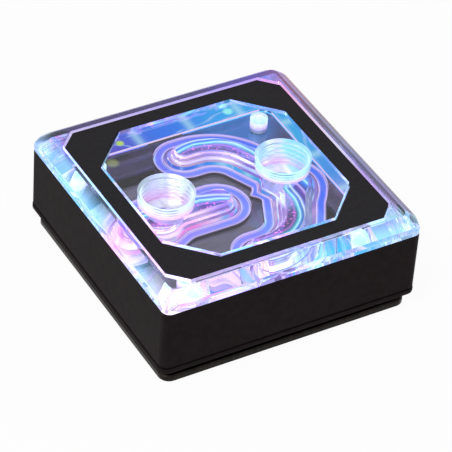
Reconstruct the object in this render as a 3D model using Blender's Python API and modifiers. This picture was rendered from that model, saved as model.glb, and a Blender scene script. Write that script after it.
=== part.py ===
"""CPU water block with a clear milled top over a finned cold plate.

Metres, +Z up, +X along the front edge, +Y towards the back, origin at the bottom centre.
"""
import math

import bmesh
import bpy
from mathutils import Vector

MM = 0.001
OBJECT_NAME = "cpu_water_block"

# Fits between pieces
CLEARANCE = 0.3 * MM
SEAM = 0.2 * MM

# Cold plate: a square flange round a finned boss
FLANGE_LEDGE = 4.4 * MM
FLANGE_THICKNESS = 1.8 * MM
FLANGE_CORNER = 2.6 * MM
FLANGE_EDGE_BREAK = 0.3 * MM
BOSS_HEIGHT = 3.4 * MM
BOSS_CORNER = 3.0 * MM
BOSS_ROOT_FILLET = 0.3 * MM

# Microfins in the boss, running front to back, with a bay at each end
FIN_COUNT = 24
FIN_THICKNESS = 0.5 * MM
FIN_GAP = 0.5 * MM
FIN_LENGTH = 28.0 * MM
FIN_HEIGHT = 2.6 * MM
FIN_BAY_MARGIN = 0.4 * MM

# Seals
SEAL_WIDTH = 1.8 * MM
SEAL_HEIGHT = 1.3 * MM
FIN_SEAL_HEIGHT = 1.0 * MM
FIN_SEAL_MARGIN = 2.2 * MM
FIN_SEAL_CORNER = 4.0 * MM

# Jet plate
JET_PLATE_THICKNESS = 1.4 * MM
JET_SLOT_LENGTH = 13.0 * MM
JET_SLOT_WIDTH = 2.6 * MM
RETURN_SLOT_LENGTH = 10.0 * MM
RETURN_SLOT_WIDTH = 3.2 * MM

# Clear top
BODY_CORNER = 2.0 * MM
TOP_THICKNESS = 18.7 * MM
TOP_EDGE_HEIGHT = 4.5 * MM
TOP_CORNER_CUT = 1.2 * MM
TOP_CORNER_RADIUS = 4.0 * MM
TOP_BEVEL_HEIGHT = 2.1 * MM
TOP_BEVEL_WIDTH = 2.6 * MM
TOP_FACE_CORNER = 1.8 * MM

# Threaded ports, 1/4 inch pipe thread: bore at the thread's minor diameter
PORT_BORE = 11.45 * MM
PORT_RIM = 13.2 * MM
PORT_RIM_DEPTH = 0.5 * MM
PORT_DEPTH = 6.8 * MM
PORT_CONE_DEPTH = 1.4 * MM
PORT_DRILL = 8.6 * MM

# Flow channels milled into the underside of the clear top in stepped passes
CHANNEL_STEPS = 3
CHANNEL_STEP_HEIGHT = 2.2 * MM
CHANNEL_STEP_WIDTH = 0.8 * MM
SEAL_LAND = 0.8 * MM
CHAMBER_LEDGE = 0.5 * MM
CHAMBER_SHIFT = 1.6 * MM
INLET_DEEP_WIDTH = 5.4 * MM
INLET_TAPER = 5.8 * MM
ARM_DEEP_WIDTH = 4.4 * MM
ARM_LENGTH = 9.1 * MM
ARM_LEAN = math.radians(28.0)
ARM_BEND_RADIUS = 11.5 * MM
CHAMBER_BEND_RADIUS = 12.5 * MM
CHAMBER_TAPER = 8.0 * MM

# Solid ribs between the channels, and between them and the boss's edges
INLET_RIB = 0.9 * MM
ARM_RIB = 1.7 * MM
ARM_EDGE = 1.8 * MM
CHAMBER_EDGE = 0.8 * MM

# Octagonal frame let into the top face
FRAME_MARGIN = 4.325 * MM
FRAME_CUT = 4.1 * MM
FRAME_BAND = 4.175 * MM
WINDOW_CUT = 9.4 * MM
FRAME_THICKNESS = 1.2 * MM
FRAME_RECESS = 0.4 * MM
FRAME_BEVEL = 0.12 * MM

# Skirt and foot ring
SKIRT_WALL = 1.5 * MM
SKIRT_EDGE_BREAK = 0.2 * MM
FOOT_GAP = 2.2 * MM
FOOT_HEIGHT = 1.35 * MM
FOOT_PROUD = 0.12 * MM
FOOT_ROUNDING = 0.45 * MM

# Light ring
BOARD_THICKNESS = 1.0 * MM
LED_SIDE = 2.4 * MM
LED_HEIGHT = 1.0 * MM
LED_WINDOW_MARGIN = 0.3 * MM
LED_WINDOW_DEPTH = 0.15 * MM
LEDS_PER_SIDE = 4
LED_END_GAP = 9.2 * MM
BOARD_MARGIN = 0.4 * MM

# Inlet for the light's lead, in the back wall
SOCKET_WIDTH = 9.0 * MM
SOCKET_HEIGHT = 3.2 * MM
SOCKET_WALL = 0.6 * MM
SOCKET_BACK_WALL = 1.0 * MM
SOCKET_RECESS = 0.2 * MM
SOCKET_PIN_COUNT = 3
SOCKET_PIN_PITCH = 2.0 * MM
SOCKET_PIN_SIDE = 0.5 * MM
SOCKET_PIN_INSET = 0.6 * MM

# Screws from below through the cold plate
PLATE_SCREW_INSET = 5.75 * MM
PLATE_SCREW_SHAFT = 3.6 * MM
PLATE_SCREW_HEAD = 7.0 * MM
PLATE_SCREW_HEAD_HEIGHT = 2.2 * MM
PLATE_SCREW_REACH = 6.4 * MM
PLATE_SCREW_SOCKET = 2.5 * MM
PLATE_SCREW_SOCKET_DEPTH = 1.2 * MM
PLATE_SCREW_LIFT = 0.3 * MM
PLATE_HOLE_TIP = 1.2 * MM

# Screws from below through the foot ring
SKIRT_SCREW_INSET = 0.4 * MM
SKIRT_SCREW_SHAFT = 1.8 * MM
SKIRT_SCREW_HEAD = 3.6 * MM
SKIRT_SCREW_HEAD_HEIGHT = 0.9 * MM
SKIRT_SCREW_REACH = 3.6 * MM
SKIRT_SCREW_SOCKET = 1.4 * MM
SKIRT_SCREW_SOCKET_DEPTH = 0.45 * MM

# Broken edges of every screw
SCREW_EDGE_BREAK = 0.2 * MM
SCREW_TIP_BREAK = 0.4 * MM
HEXAGON_SIDES = 6

# Fineness of round shapes
CORNER_STEPS = 5
CAP_STEPS = 10
PATH_STEPS = 5
PORT_STEPS = 32
SEAL_SECTION_STEPS = 6
EDGE_STEPS = 3
SCREW_STEPS = 14
OVERCUT = 1.0 * MM
STRAIGHT_ANGLE = math.radians(0.2)
FLAT_ANGLE = math.radians(0.02)

# Heights worked out from the sizes above
FLANGE_TOP = FLANGE_THICKNESS
BOSS_TOP = FLANGE_TOP + BOSS_HEIGHT
JET_PLATE_BOTTOM = BOSS_TOP + CLEARANCE
JET_PLATE_TOP = JET_PLATE_BOTTOM + JET_PLATE_THICKNESS
CLEAR_BOTTOM = JET_PLATE_TOP + CLEARANCE
CLEAR_TOP = CLEAR_BOTTOM + TOP_THICKNESS
SHOULDER_HEIGHT = CLEAR_TOP - TOP_EDGE_HEIGHT
FOOT_BOTTOM = FLANGE_TOP + FOOT_GAP
FOOT_TOP = FOOT_BOTTOM + FOOT_HEIGHT
SKIRT_BOTTOM = FOOT_TOP + CLEARANCE
SKIRT_TOP = SHOULDER_HEIGHT - SEAM
BOARD_BOTTOM = FOOT_TOP + CLEARANCE
BOARD_TOP = BOARD_BOTTOM + BOARD_THICKNESS
LED_BOTTOM = BOARD_TOP + CLEARANCE
LED_TOP = LED_BOTTOM + LED_HEIGHT
RIM_BOTTOM = LED_TOP + CLEARANCE
FRAME_TOP = CLEAR_TOP - FRAME_RECESS
FRAME_BOTTOM = FRAME_TOP - FRAME_THICKNESS
PORT_FLOOR = CLEAR_TOP - PORT_DEPTH
CHANNEL_CEILING = CLEAR_BOTTOM + CHANNEL_STEPS * CHANNEL_STEP_HEIGHT
SOCKET_BOTTOM = FOOT_TOP + CLEARANCE
SOCKET_TOP = SOCKET_BOTTOM + SOCKET_HEIGHT

# Half widths of the channels, each from its deepest pass out to its seal's groove
SEAL_GROOVE_WIDTH = SEAL_WIDTH + 2 * CLEARANCE
SEAL_GROOVE_DEPTH = SEAL_HEIGHT + CLEARANCE
CHANNEL_INSET = SEAL_GROOVE_WIDTH + SEAL_LAND
CHANNEL_SIDE = CHANNEL_INSET + (CHANNEL_STEPS - 1) * CHANNEL_STEP_WIDTH
CHAMBER_RADIUS = PORT_DRILL / 2 + CHAMBER_LEDGE + CHANNEL_SIDE
INLET_RADIUS = INLET_DEEP_WIDTH / 2 + CHANNEL_SIDE
ARM_RADIUS = ARM_DEEP_WIDTH / 2 + CHANNEL_SIDE

# Half sizes, worked out from the channels outwards
ARM_Y = CHAMBER_RADIUS + ARM_RIB + ARM_RADIUS
BOSS_HALF = ARM_Y + ARM_RADIUS + ARM_EDGE
FLANGE_HALF = BOSS_HALF + FLANGE_LEDGE
RING_INNER_HALF = BOSS_HALF + CLEARANCE
RING_INNER_CORNER = BOSS_CORNER + CLEARANCE
BOARD_INNER_HALF = RING_INNER_HALF + CLEARANCE
LED_LINE = BOARD_INNER_HALF + BOARD_MARGIN + LED_SIDE / 2
CLEAR_BODY_HALF = LED_LINE + LED_SIDE / 2 + BOARD_MARGIN
SKIRT_INNER_HALF = CLEAR_BODY_HALF + CLEARANCE
SKIRT_INNER_CORNER = max(BODY_CORNER - SKIRT_WALL, FOOT_ROUNDING)
BODY_HALF = SKIRT_INNER_HALF + SKIRT_WALL
FRAME_HALF = BODY_HALF - FRAME_MARGIN
WINDOW_HALF = FRAME_HALF - FRAME_BAND
PLATE_SCREW_HALF = BOSS_HALF - PLATE_SCREW_INSET
SKIRT_SCREW_HALF = LED_LINE - SKIRT_SCREW_INSET

# Places of the ports, channels and slots
CHAMBER_X = BOSS_HALF - CHAMBER_EDGE - CHAMBER_RADIUS
PORT_X = CHAMBER_X - CHAMBER_SHIFT
INLET_END_X = CHAMBER_X - CHAMBER_RADIUS - INLET_RIB - INLET_RADIUS
CHAMBER_PEAK_X = CHAMBER_X + CHAMBER_BEND_RADIUS * (1 / math.cos(ARM_LEAN) - 1)
ARM_CORNER_X = CHAMBER_PEAK_X - ARM_Y * math.tan(ARM_LEAN)
ARM_END_X = ARM_CORNER_X - ARM_LENGTH
JET_SLOT_END_X = INLET_END_X + INLET_RADIUS - CHANNEL_INSET - CLEARANCE
JET_SLOT_CENTRE_X = JET_SLOT_END_X - JET_SLOT_LENGTH / 2
RETURN_SLOT_END_X = ARM_END_X - ARM_RADIUS + CHANNEL_INSET + CLEARANCE
RETURN_SLOT_CENTRE_X = RETURN_SLOT_END_X + RETURN_SLOT_LENGTH / 2
FIN_PITCH = FIN_THICKNESS + FIN_GAP
FIN_FIELD_WIDTH = FIN_COUNT * FIN_PITCH + FIN_GAP
FIN_FLOOR = BOSS_TOP - FIN_HEIGHT
FIN_BAY_END = ARM_Y + RETURN_SLOT_WIDTH / 2 + FIN_BAY_MARGIN
LED_PITCH = 2 * (LED_LINE - LED_END_GAP) / (LEDS_PER_SIDE - 1)
SOCKET_OUTER_Y = BODY_HALF - SOCKET_RECESS
SOCKET_INNER_Y = RING_INNER_HALF + CLEARANCE
SOCKET_NOTCH_HALF = SOCKET_WIDTH / 2 + CLEARANCE


def clear_scene():
    for existing in list(bpy.data.objects):
        bpy.data.objects.remove(existing, do_unlink=True)


def new_collection(name):
    collection = bpy.data.collections.new(name)
    bpy.context.scene.collection.children.link(collection)
    return collection


def make_material(name, colour, roughness, metallic=0.0, transmission=0.0):
    material = bpy.data.materials.new(name)
    material.use_nodes = True
    shader = material.node_tree.nodes["Principled BSDF"]
    shader.inputs["Base Color"].default_value = (*colour, 1.0)
    shader.inputs["Roughness"].default_value = roughness
    shader.inputs["Metallic"].default_value = metallic
    shader.inputs["Transmission Weight"].default_value = transmission
    material.diffuse_color = (*colour, 1.0)
    return material


def add_object(name, mesh, material=None):
    """A mesh with a material is a piece of the block, and one without is a cutter."""
    item = bpy.data.objects.new(name, mesh)
    if material is None:
        cutters.objects.link(item)
        item.hide_render = True
        item.display_type = "WIRE"
        return item
    if not mesh.materials:
        mesh.materials.append(material)
    parts.objects.link(item)
    item.parent = origin
    return item


def smooth(item, angle=35.0):
    item.data.shade_smooth()
    item.data.set_sharp_from_angle(angle=math.radians(angle))


def cut(piece, cutter):
    modifier = piece.modifiers.new("cut " + cutter.name, "BOOLEAN")
    modifier.operation = "DIFFERENCE"
    modifier.solver = "EXACT"
    modifier.object = cutter


def evaluated_mesh(item):
    bpy.context.view_layer.update()
    evaluated = item.evaluated_get(bpy.context.evaluated_depsgraph_get())
    return bpy.data.meshes.new_from_object(evaluated)


def rounded_square(half, radius):
    """Corner arcs of a square, counterclockwise."""
    centre = half - radius
    points = []
    for quarter in range(4):
        sign_x = 1 if quarter in (0, 3) else -1
        sign_y = 1 if quarter in (0, 1) else -1
        for step in range(CORNER_STEPS + 1):
            angle = (quarter + step / CORNER_STEPS) * math.pi / 2
            x = sign_x * centre + radius * math.cos(angle)
            y = sign_y * centre + radius * math.sin(angle)
            points.append((x, y))
    return points


def octagon(half, corner_cut, inset=0.0):
    """A square with its corners cut off, drawn in by the inset, counterclockwise."""
    short = half - corner_cut + inset * (1 - math.sqrt(2))
    half -= inset
    quarter = [(half, short), (short, half)]
    points = []
    for _ in range(4):
        points.extend(quarter)
        quarter = [(-y, x) for x, y in quarter]
    return points


def slot_outline(centre_x, centre_y, length, width):
    """A slot along X with round ends, counterclockwise."""
    radius = width / 2
    reach = length / 2 - radius
    points = []
    for end, start in ((1, -math.pi / 2), (-1, math.pi / 2)):
        for step in range(CORNER_STEPS * 2 + 1):
            angle = start + math.pi * step / (CORNER_STEPS * 2)
            x = centre_x + end * reach + radius * math.cos(angle)
            y = centre_y + radius * math.sin(angle)
            points.append((x, y))
    return points


def circle_outline(centre_x, centre_y, radius, steps=SCREW_STEPS):
    return [
        (
            centre_x + radius * math.cos(2 * math.pi * step / steps),
            centre_y + radius * math.sin(2 * math.pi * step / steps),
        )
        for step in range(steps)
    ]


def square_places(half):
    """The four corners of a square screw pattern, counterclockwise from back right."""
    return [(half, half), (-half, half), (-half, -half), (half, -half)]


def eased(share):
    """A gentle passage from 0 to 1."""
    share = min(max(share, 0.0), 1.0)
    return share * share * (3 - 2 * share)


def rounded_path(corners, radii):
    """Points of x, y and heading along straight runs that arcs join."""
    points = [(*corners[0], heading_to(corners[0], corners[1]))]
    for before, corner, after, radius in zip(corners, corners[1:], corners[2:], radii):
        start = heading_to(before, corner)
        turn = heading_to(corner, after) - start
        turn = (turn + math.pi) % (2 * math.pi) - math.pi
        side = math.copysign(radius, turn)
        run = radius * math.tan(abs(turn) / 2)
        centre_x = corner[0] - run * math.cos(start) - side * math.sin(start)
        centre_y = corner[1] - run * math.sin(start) + side * math.cos(start)
        for step in range(PATH_STEPS + 1):
            heading = start + turn * step / PATH_STEPS
            x = centre_x + side * math.sin(heading)
            y = centre_y - side * math.cos(heading)
            points.append((x, y, heading))
    points.append((*corners[-1], heading_to(corners[-2], corners[-1])))
    return points


def heading_to(start, end):
    return math.atan2(end[1] - start[1], end[0] - start[0])


def inlet_path():
    """Points of x, y, heading and half width from over the jet slot to the left chamber."""
    points = []
    for step in range(PATH_STEPS + 1):
        x = INLET_END_X - (CHAMBER_X + INLET_END_X) * step / PATH_STEPS
        narrowed = eased((x + CHAMBER_X) / INLET_TAPER)
        half = CHAMBER_RADIUS + (INLET_RADIUS - CHAMBER_RADIUS) * narrowed
        points.append((x, 0.0, math.pi, half))
    return points


def outlet_path():
    """From the front return slot round the chamber under the right port to the back one."""
    corners = [
        (ARM_END_X, -ARM_Y),
        (ARM_CORNER_X, -ARM_Y),
        (CHAMBER_PEAK_X, 0.0),
        (ARM_CORNER_X, ARM_Y),
        (ARM_END_X, ARM_Y),
    ]
    spine = rounded_path(corners, [ARM_BEND_RADIUS, CHAMBER_BEND_RADIUS, ARM_BEND_RADIUS])
    lengths = [0.0]
    for start, end in zip(spine, spine[1:]):
        lengths.append(lengths[-1] + math.dist(start[:2], end[:2]))
    points = []
    for (x, y, heading), length in zip(spine, lengths):
        narrowed = eased(abs(length - lengths[-1] / 2) / CHAMBER_TAPER)
        half = CHAMBER_RADIUS + (ARM_RADIUS - CHAMBER_RADIUS) * narrowed
        points.append((x, y, heading, half))
    return points


def channel_outline(path, inset):
    """The outline of a channel round its path, drawn in by the inset, counterclockwise."""
    right_side = []
    left_side = []
    for x, y, heading, half in path:
        reach = half - inset
        right_side.append((x + reach * math.sin(heading), y - reach * math.cos(heading)))
        left_side.append((x - reach * math.sin(heading), y + reach * math.cos(heading)))
    far_cap = cap_points(path[-1], path[-1][2] - math.pi / 2, inset)
    near_cap = cap_points(path[0], path[0][2] + math.pi / 2, inset)
    return right_side + far_cap + left_side[::-1] + near_cap


def cap_points(end, start_angle, inset):
    """The inner points of the half circle that closes a channel's end."""
    x, y, _, half = end
    radius = half - inset
    points = []
    for step in range(1, CAP_STEPS):
        angle = start_angle + math.pi * step / CAP_STEPS
        points.append((x + radius * math.cos(angle), y + radius * math.sin(angle)))
    return points


def without_straight_points(outline):
    """Leaves out the points that lie on the straight line between their neighbours."""
    kept = []
    for index, point in enumerate(outline):
        before = Vector(point) - Vector(outline[index - 1])
        after = Vector(outline[(index + 1) % len(outline)]) - Vector(point)
        if before.length > 0 and abs(before.angle_signed(after)) > STRAIGHT_ANGLE:
            kept.append(point)
    return kept


def lofted(name, rings, material, hollow=False):
    """Skin between unlike outlines given as (outline, height), capped or joined end to end."""
    shape = bmesh.new()
    loops = []
    for outline, height in rings:
        loops.append([shape.verts.new((x, y, height)) for x, y in outline])
    pairs = list(zip(loops, loops[1:]))
    if hollow:
        pairs.append((loops[-1], loops[0]))
    else:
        shape.faces.new(loops[0][::-1])
        shape.faces.new(loops[-1])
    count = len(loops[0])
    for lower, upper in pairs:
        for index in range(count):
            after = (index + 1) % count
            shape.faces.new((lower[index], lower[after], upper[after], upper[index]))
    shape.normal_update()
    mesh = bpy.data.meshes.new(name)
    shape.to_mesh(mesh)
    shape.free()
    return add_object(name, mesh, material)


def flat_solid(name, outlines, bottom, top, material=None):
    """A filled flat outline, with any inner outlines as holes, made thick."""
    curve = bpy.data.curves.new(name + "_outline", "CURVE")
    curve.dimensions = "2D"
    curve.fill_mode = "BOTH"
    curve.extrude = (top - bottom) / 2
    for outline in outlines:
        corners = without_straight_points(outline)
        spline = curve.splines.new("POLY")
        spline.points.add(len(corners) - 1)
        spline.use_cyclic_u = True
        for point, (x, y) in zip(spline.points, corners):
            point.co = (x, y, 0.0, 1.0)
    source = bpy.data.objects.new(curve.name, curve)
    parts.objects.link(source)
    source.location.z = (top + bottom) / 2
    mesh = evaluated_mesh(source)
    mesh.name = name
    shape = bmesh.new()
    shape.from_mesh(mesh)
    bmesh.ops.remove_doubles(shape, verts=shape.verts, dist=0.001 * MM)
    bmesh.ops.dissolve_limit(
        shape, angle_limit=FLAT_ANGLE, verts=shape.verts, edges=shape.edges
    )
    bmesh.ops.recalc_face_normals(shape, faces=shape.faces)
    shape.to_mesh(mesh)
    shape.free()
    item = add_object(name, mesh, material)
    item.matrix_world = source.matrix_world.copy()
    bpy.data.objects.remove(source, do_unlink=True)
    return item


def box(name, low, high, material=None):
    """A box between two corners."""
    low = Vector(low)
    high = Vector(high)
    shape = bmesh.new()
    bmesh.ops.create_cube(shape, size=1.0)
    bmesh.ops.scale(shape, vec=high - low, verts=shape.verts)
    mesh = bpy.data.meshes.new(name)
    shape.to_mesh(mesh)
    shape.free()
    item = add_object(name, mesh, material)
    item.location = (low + high) / 2
    return item


def cylinders(name, places, radius, bottom, top, steps=SCREW_STEPS):
    """Upright cylinders of one size in one cutter."""
    shape = bmesh.new()
    for x, y in places:
        made = bmesh.ops.create_cone(
            shape,
            cap_ends=True,
            segments=steps,
            radius1=radius,
            radius2=radius,
            depth=top - bottom,
        )
        bmesh.ops.translate(shape, vec=(x, y, (top + bottom) / 2), verts=made["verts"])
    mesh = bpy.data.meshes.new(name)
    shape.to_mesh(mesh)
    shape.free()
    return add_object(name, mesh)


def turned(name, profile, steps, material=None):
    """A solid turned about Z from radius and height points, which run from top to bottom."""
    mesh = bpy.data.meshes.new(name)
    vertices = [(radius, 0.0, height) for radius, height in profile]
    edges = [(index, index + 1) for index in range(len(vertices) - 1)]
    mesh.from_pydata(vertices, edges, [])
    item = add_object(name, mesh, material)
    screw = item.modifiers.new("turn", "SCREW")
    screw.axis = "Z"
    screw.angle = 2 * math.pi
    screw.steps = steps
    screw.render_steps = steps
    screw.use_merge_vertices = True
    screw.merge_threshold = 0.001 * MM
    return item


def build_cold_plate(copper):
    narrow = rounded_square(FLANGE_HALF - FLANGE_EDGE_BREAK, FLANGE_CORNER - FLANGE_EDGE_BREAK)
    wide = rounded_square(FLANGE_HALF, FLANGE_CORNER)
    root = rounded_square(BOSS_HALF + BOSS_ROOT_FILLET, BOSS_CORNER + BOSS_ROOT_FILLET)
    boss = rounded_square(BOSS_HALF, BOSS_CORNER)
    plate = lofted(
        "cold_plate",
        [
            (narrow, 0.0),
            (wide, FLANGE_EDGE_BREAK),
            (wide, FLANGE_TOP - FLANGE_EDGE_BREAK),
            (narrow, FLANGE_TOP),
            (root, FLANGE_TOP),
            (boss, FLANGE_TOP + BOSS_ROOT_FILLET),
            (boss, BOSS_TOP),
        ],
        copper,
    )
    for sign, side in ((-1, "front"), (1, "back")):
        near = sign * FIN_LENGTH / 2
        far = sign * FIN_BAY_END
        bay = box(
            f"cut_fin_bay_{side}",
            (-FIN_FIELD_WIDTH / 2, min(near, far), FIN_FLOOR),
            (FIN_FIELD_WIDTH / 2, max(near, far), BOSS_TOP + OVERCUT),
        )
        cut(plate, bay)
    cut(plate, fin_gaps())
    seal_floor = BOSS_TOP - FIN_SEAL_HEIGHT - CLEARANCE
    seal_outlines = fin_seal_outlines(0.0)
    cut(plate, flat_solid("cut_fin_seal", seal_outlines, seal_floor, BOSS_TOP + OVERCUT))
    places = square_places(PLATE_SCREW_HALF)
    hole_radius = PLATE_SCREW_SHAFT / 2 + CLEARANCE
    head_radius = PLATE_SCREW_HEAD / 2 + CLEARANCE
    head_top = PLATE_SCREW_LIFT + PLATE_SCREW_HEAD_HEIGHT + CLEARANCE
    through = BOSS_TOP + OVERCUT
    cut(plate, cylinders("cut_plate_heads", places, head_radius, -OVERCUT, head_top))
    cut(plate, cylinders("cut_plate_shafts", places, hole_radius, head_top / 2, through))
    return plate


def fin_gaps():
    """One cutter for all the gaps between the microfins."""
    shape = bmesh.new()
    reach = FIN_LENGTH + 2 * FIN_GAP
    height = FIN_HEIGHT + OVERCUT
    for index in range(FIN_COUNT + 1):
        made = bmesh.ops.create_cube(shape, size=1.0)
        x = (index - FIN_COUNT / 2) * FIN_PITCH
        bmesh.ops.scale(shape, vec=(FIN_GAP, reach, height), verts=made["verts"])
        bmesh.ops.translate(shape, vec=(x, 0.0, FIN_FLOOR + height / 2), verts=made["verts"])
    mesh = bpy.data.meshes.new("cut_fin_gaps")
    shape.to_mesh(mesh)
    shape.free()
    return add_object("cut_fin_gaps", mesh)


def fin_seal_outlines(inset):
    """Outer and inner outline of the seal round the fins, or of its groove at no inset."""
    half_x = FIN_FIELD_WIDTH / 2 + FIN_SEAL_MARGIN + SEAL_GROOVE_WIDTH
    half_y = FIN_BAY_END + FIN_SEAL_MARGIN + SEAL_GROOVE_WIDTH
    outlines = []
    for drawn_in in (inset, SEAL_GROOVE_WIDTH - inset):
        corner = FIN_SEAL_CORNER - drawn_in
        narrowing = half_y - half_x
        outline = []
        for x, y in rounded_square(half_y - drawn_in, corner):
            outline.append((x - math.copysign(narrowing, x), y))
        outlines.append(outline)
    return outlines


def build_jet_plate(nickel):
    outlines = [rounded_square(BOSS_HALF, BOSS_CORNER)]
    outlines.append(slot_outline(JET_SLOT_CENTRE_X, 0.0, JET_SLOT_LENGTH, JET_SLOT_WIDTH))
    for sign in (-1, 1):
        slot = slot_outline(
            RETURN_SLOT_CENTRE_X, sign * ARM_Y, RETURN_SLOT_LENGTH, RETURN_SLOT_WIDTH
        )
        outlines.append(slot)
    for x, y in square_places(PLATE_SCREW_HALF):
        outlines.append(circle_outline(x, y, PLATE_SCREW_SHAFT / 2 + CLEARANCE))
    return flat_solid("jet_plate", outlines, JET_PLATE_BOTTOM, JET_PLATE_TOP, nickel)


def build_seals(rubber):
    for name, path in (("inlet_oring", inlet_path()), ("outlet_oring", outlet_path())):
        smooth(channel_seal(name, path, rubber))
    outlines = fin_seal_outlines(CLEARANCE)
    smooth(flat_solid("plate_oring", outlines, BOSS_TOP - FIN_SEAL_HEIGHT, BOSS_TOP, rubber))


def channel_seal(name, path, rubber):
    """A seal of round-edged section that follows a channel's outline."""
    rings = []
    for step in range(SEAL_SECTION_STEPS):
        angle = 2 * math.pi * (step + 0.5) / SEAL_SECTION_STEPS
        inset = CLEARANCE + SEAL_WIDTH / 2 * (1 - math.cos(angle))
        height = CLEAR_BOTTOM + SEAL_HEIGHT / 2 * (1 + math.sin(angle))
        rings.append((channel_outline(path, inset), height))
    return lofted(name, rings, rubber, hollow=True)


def build_clear_top(acrylic):
    """The clear block: bevelled above the shoulder that rests on the skirt."""
    seat = rounded_square(BOSS_HALF, BOSS_CORNER)
    body = rounded_square(CLEAR_BODY_HALF, SKIRT_INNER_CORNER)
    edge = rounded_square(BODY_HALF, BODY_CORNER)
    cut_edge = rounded_square(BODY_HALF, TOP_CORNER_RADIUS)
    face = rounded_square(BODY_HALF - TOP_BEVEL_WIDTH, TOP_FACE_CORNER)
    bevel_start = CLEAR_TOP - TOP_BEVEL_HEIGHT
    block = lofted(
        "acrylic_top",
        [
            (seat, CLEAR_BOTTOM),
            (seat, RIM_BOTTOM),
            (body, RIM_BOTTOM),
            (body, SHOULDER_HEIGHT),
            (edge, SHOULDER_HEIGHT),
            (edge, bevel_start - TOP_CORNER_CUT),
            (cut_edge, bevel_start),
            (face, CLEAR_TOP),
        ],
        acrylic,
    )
    pocket = [
        octagon(FRAME_HALF + CLEARANCE, FRAME_CUT),
        octagon(WINDOW_HALF - CLEARANCE, WINDOW_CUT),
    ]
    pocket_floor = FRAME_BOTTOM - CLEARANCE
    cut(block, flat_solid("cut_frame_pocket", pocket, pocket_floor, CLEAR_TOP + OVERCUT))
    for name, path in (("inlet", inlet_path()), ("outlet", outlet_path())):
        cut_channel(block, name, path)
    for side, x in (("left", -PORT_X), ("right", PORT_X)):
        port = turned(f"cut_port_{side}", port_profile(), PORT_STEPS)
        port.location.x = x
        cut(block, port)
    hole_top = CLEAR_BOTTOM + PLATE_SCREW_REACH + CLEARANCE
    hole_radius = PLATE_SCREW_SHAFT / 2 + CLEARANCE
    for number, (x, y) in enumerate(square_places(PLATE_SCREW_HALF), start=1):
        profile = [(0.0, hole_top + PLATE_HOLE_TIP), (hole_radius, hole_top)]
        profile.append((hole_radius, CLEAR_BOTTOM - OVERCUT))
        profile.append((0.0, CLEAR_BOTTOM - OVERCUT))
        hole = turned(f"cut_plate_hole_{number}", profile, SCREW_STEPS)
        hole.location = (x, y, 0.0)
        cut(block, hole)
    places = square_places(SKIRT_SCREW_HALF)
    skirt_hole = SKIRT_SCREW_SHAFT / 2 + CLEARANCE
    hole_end = RIM_BOTTOM + SKIRT_SCREW_REACH + CLEARANCE
    cut(block, cylinders("cut_skirt_holes", places, skirt_hole, RIM_BOTTOM - OVERCUT, hole_end))
    cut(block, socket_room("cut_top_socket", BOSS_HALF + CLEARANCE, BODY_HALF))
    smooth(block)
    return block


def port_profile():
    """Chamfered rim, thread bore, cone and the drilling down into the chamber."""
    rim = PORT_RIM / 2
    bore = PORT_BORE / 2
    drill = PORT_DRILL / 2
    above = CLEAR_TOP + OVERCUT
    deepest_pass_start = CHANNEL_CEILING - CHANNEL_STEP_HEIGHT
    below = deepest_pass_start - CHANNEL_STEP_HEIGHT / 2
    return [
        (0.0, above),
        (rim, above),
        (rim, CLEAR_TOP),
        (bore, CLEAR_TOP - PORT_RIM_DEPTH),
        (bore, PORT_FLOOR),
        (drill, PORT_FLOOR - PORT_CONE_DEPTH),
        (drill, below),
        (0.0, below),
    ]


def cut_channel(block, name, path):
    """The seal's groove, then the channel in passes that narrow as they go deeper."""
    floor = CLEAR_BOTTOM - OVERCUT
    groove_top = CLEAR_BOTTOM + SEAL_GROOVE_DEPTH
    outer = channel_outline(path, 0.0)
    inner = channel_outline(path, SEAL_GROOVE_WIDTH)
    groove = [(outer, floor), (outer, groove_top), (inner, groove_top), (inner, floor)]
    cut(block, lofted(f"cut_{name}_groove", groove, None, hollow=True))
    passes = []
    lower = floor
    for step in range(CHANNEL_STEPS):
        inset = CHANNEL_INSET + step * CHANNEL_STEP_WIDTH
        upper = CLEAR_BOTTOM + (step + 1) * CHANNEL_STEP_HEIGHT
        outline = channel_outline(path, inset)
        passes.extend([(outline, lower), (outline, upper)])
        lower = upper
    cut(block, lofted(f"cut_{name}_passes", passes, None))


def socket_room(name, inner_y, outer_y):
    """Room for the lead's socket at the middle of the back wall."""
    low = (-SOCKET_NOTCH_HALF, inner_y, SKIRT_BOTTOM - OVERCUT)
    high = (SOCKET_NOTCH_HALF, outer_y + OVERCUT, SOCKET_TOP + CLEARANCE)
    return box(name, low, high)


def build_trim_frame(black):
    """An octagonal ring with its edges broken: up its outside and down its inside."""
    outside = octagon(FRAME_HALF, FRAME_CUT)
    outside_broken = octagon(FRAME_HALF, FRAME_CUT, FRAME_BEVEL)
    inside = octagon(WINDOW_HALF, WINDOW_CUT)
    inside_broken = octagon(WINDOW_HALF, WINDOW_CUT, -FRAME_BEVEL)
    rings = [
        (outside_broken, FRAME_BOTTOM),
        (outside, FRAME_BOTTOM + FRAME_BEVEL),
        (outside, FRAME_TOP - FRAME_BEVEL),
        (outside_broken, FRAME_TOP),
        (inside_broken, FRAME_TOP),
        (inside, FRAME_TOP - FRAME_BEVEL),
        (inside, FRAME_BOTTOM + FRAME_BEVEL),
        (inside_broken, FRAME_BOTTOM),
    ]
    return lofted("trim_frame", rings, black, hollow=True)


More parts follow.
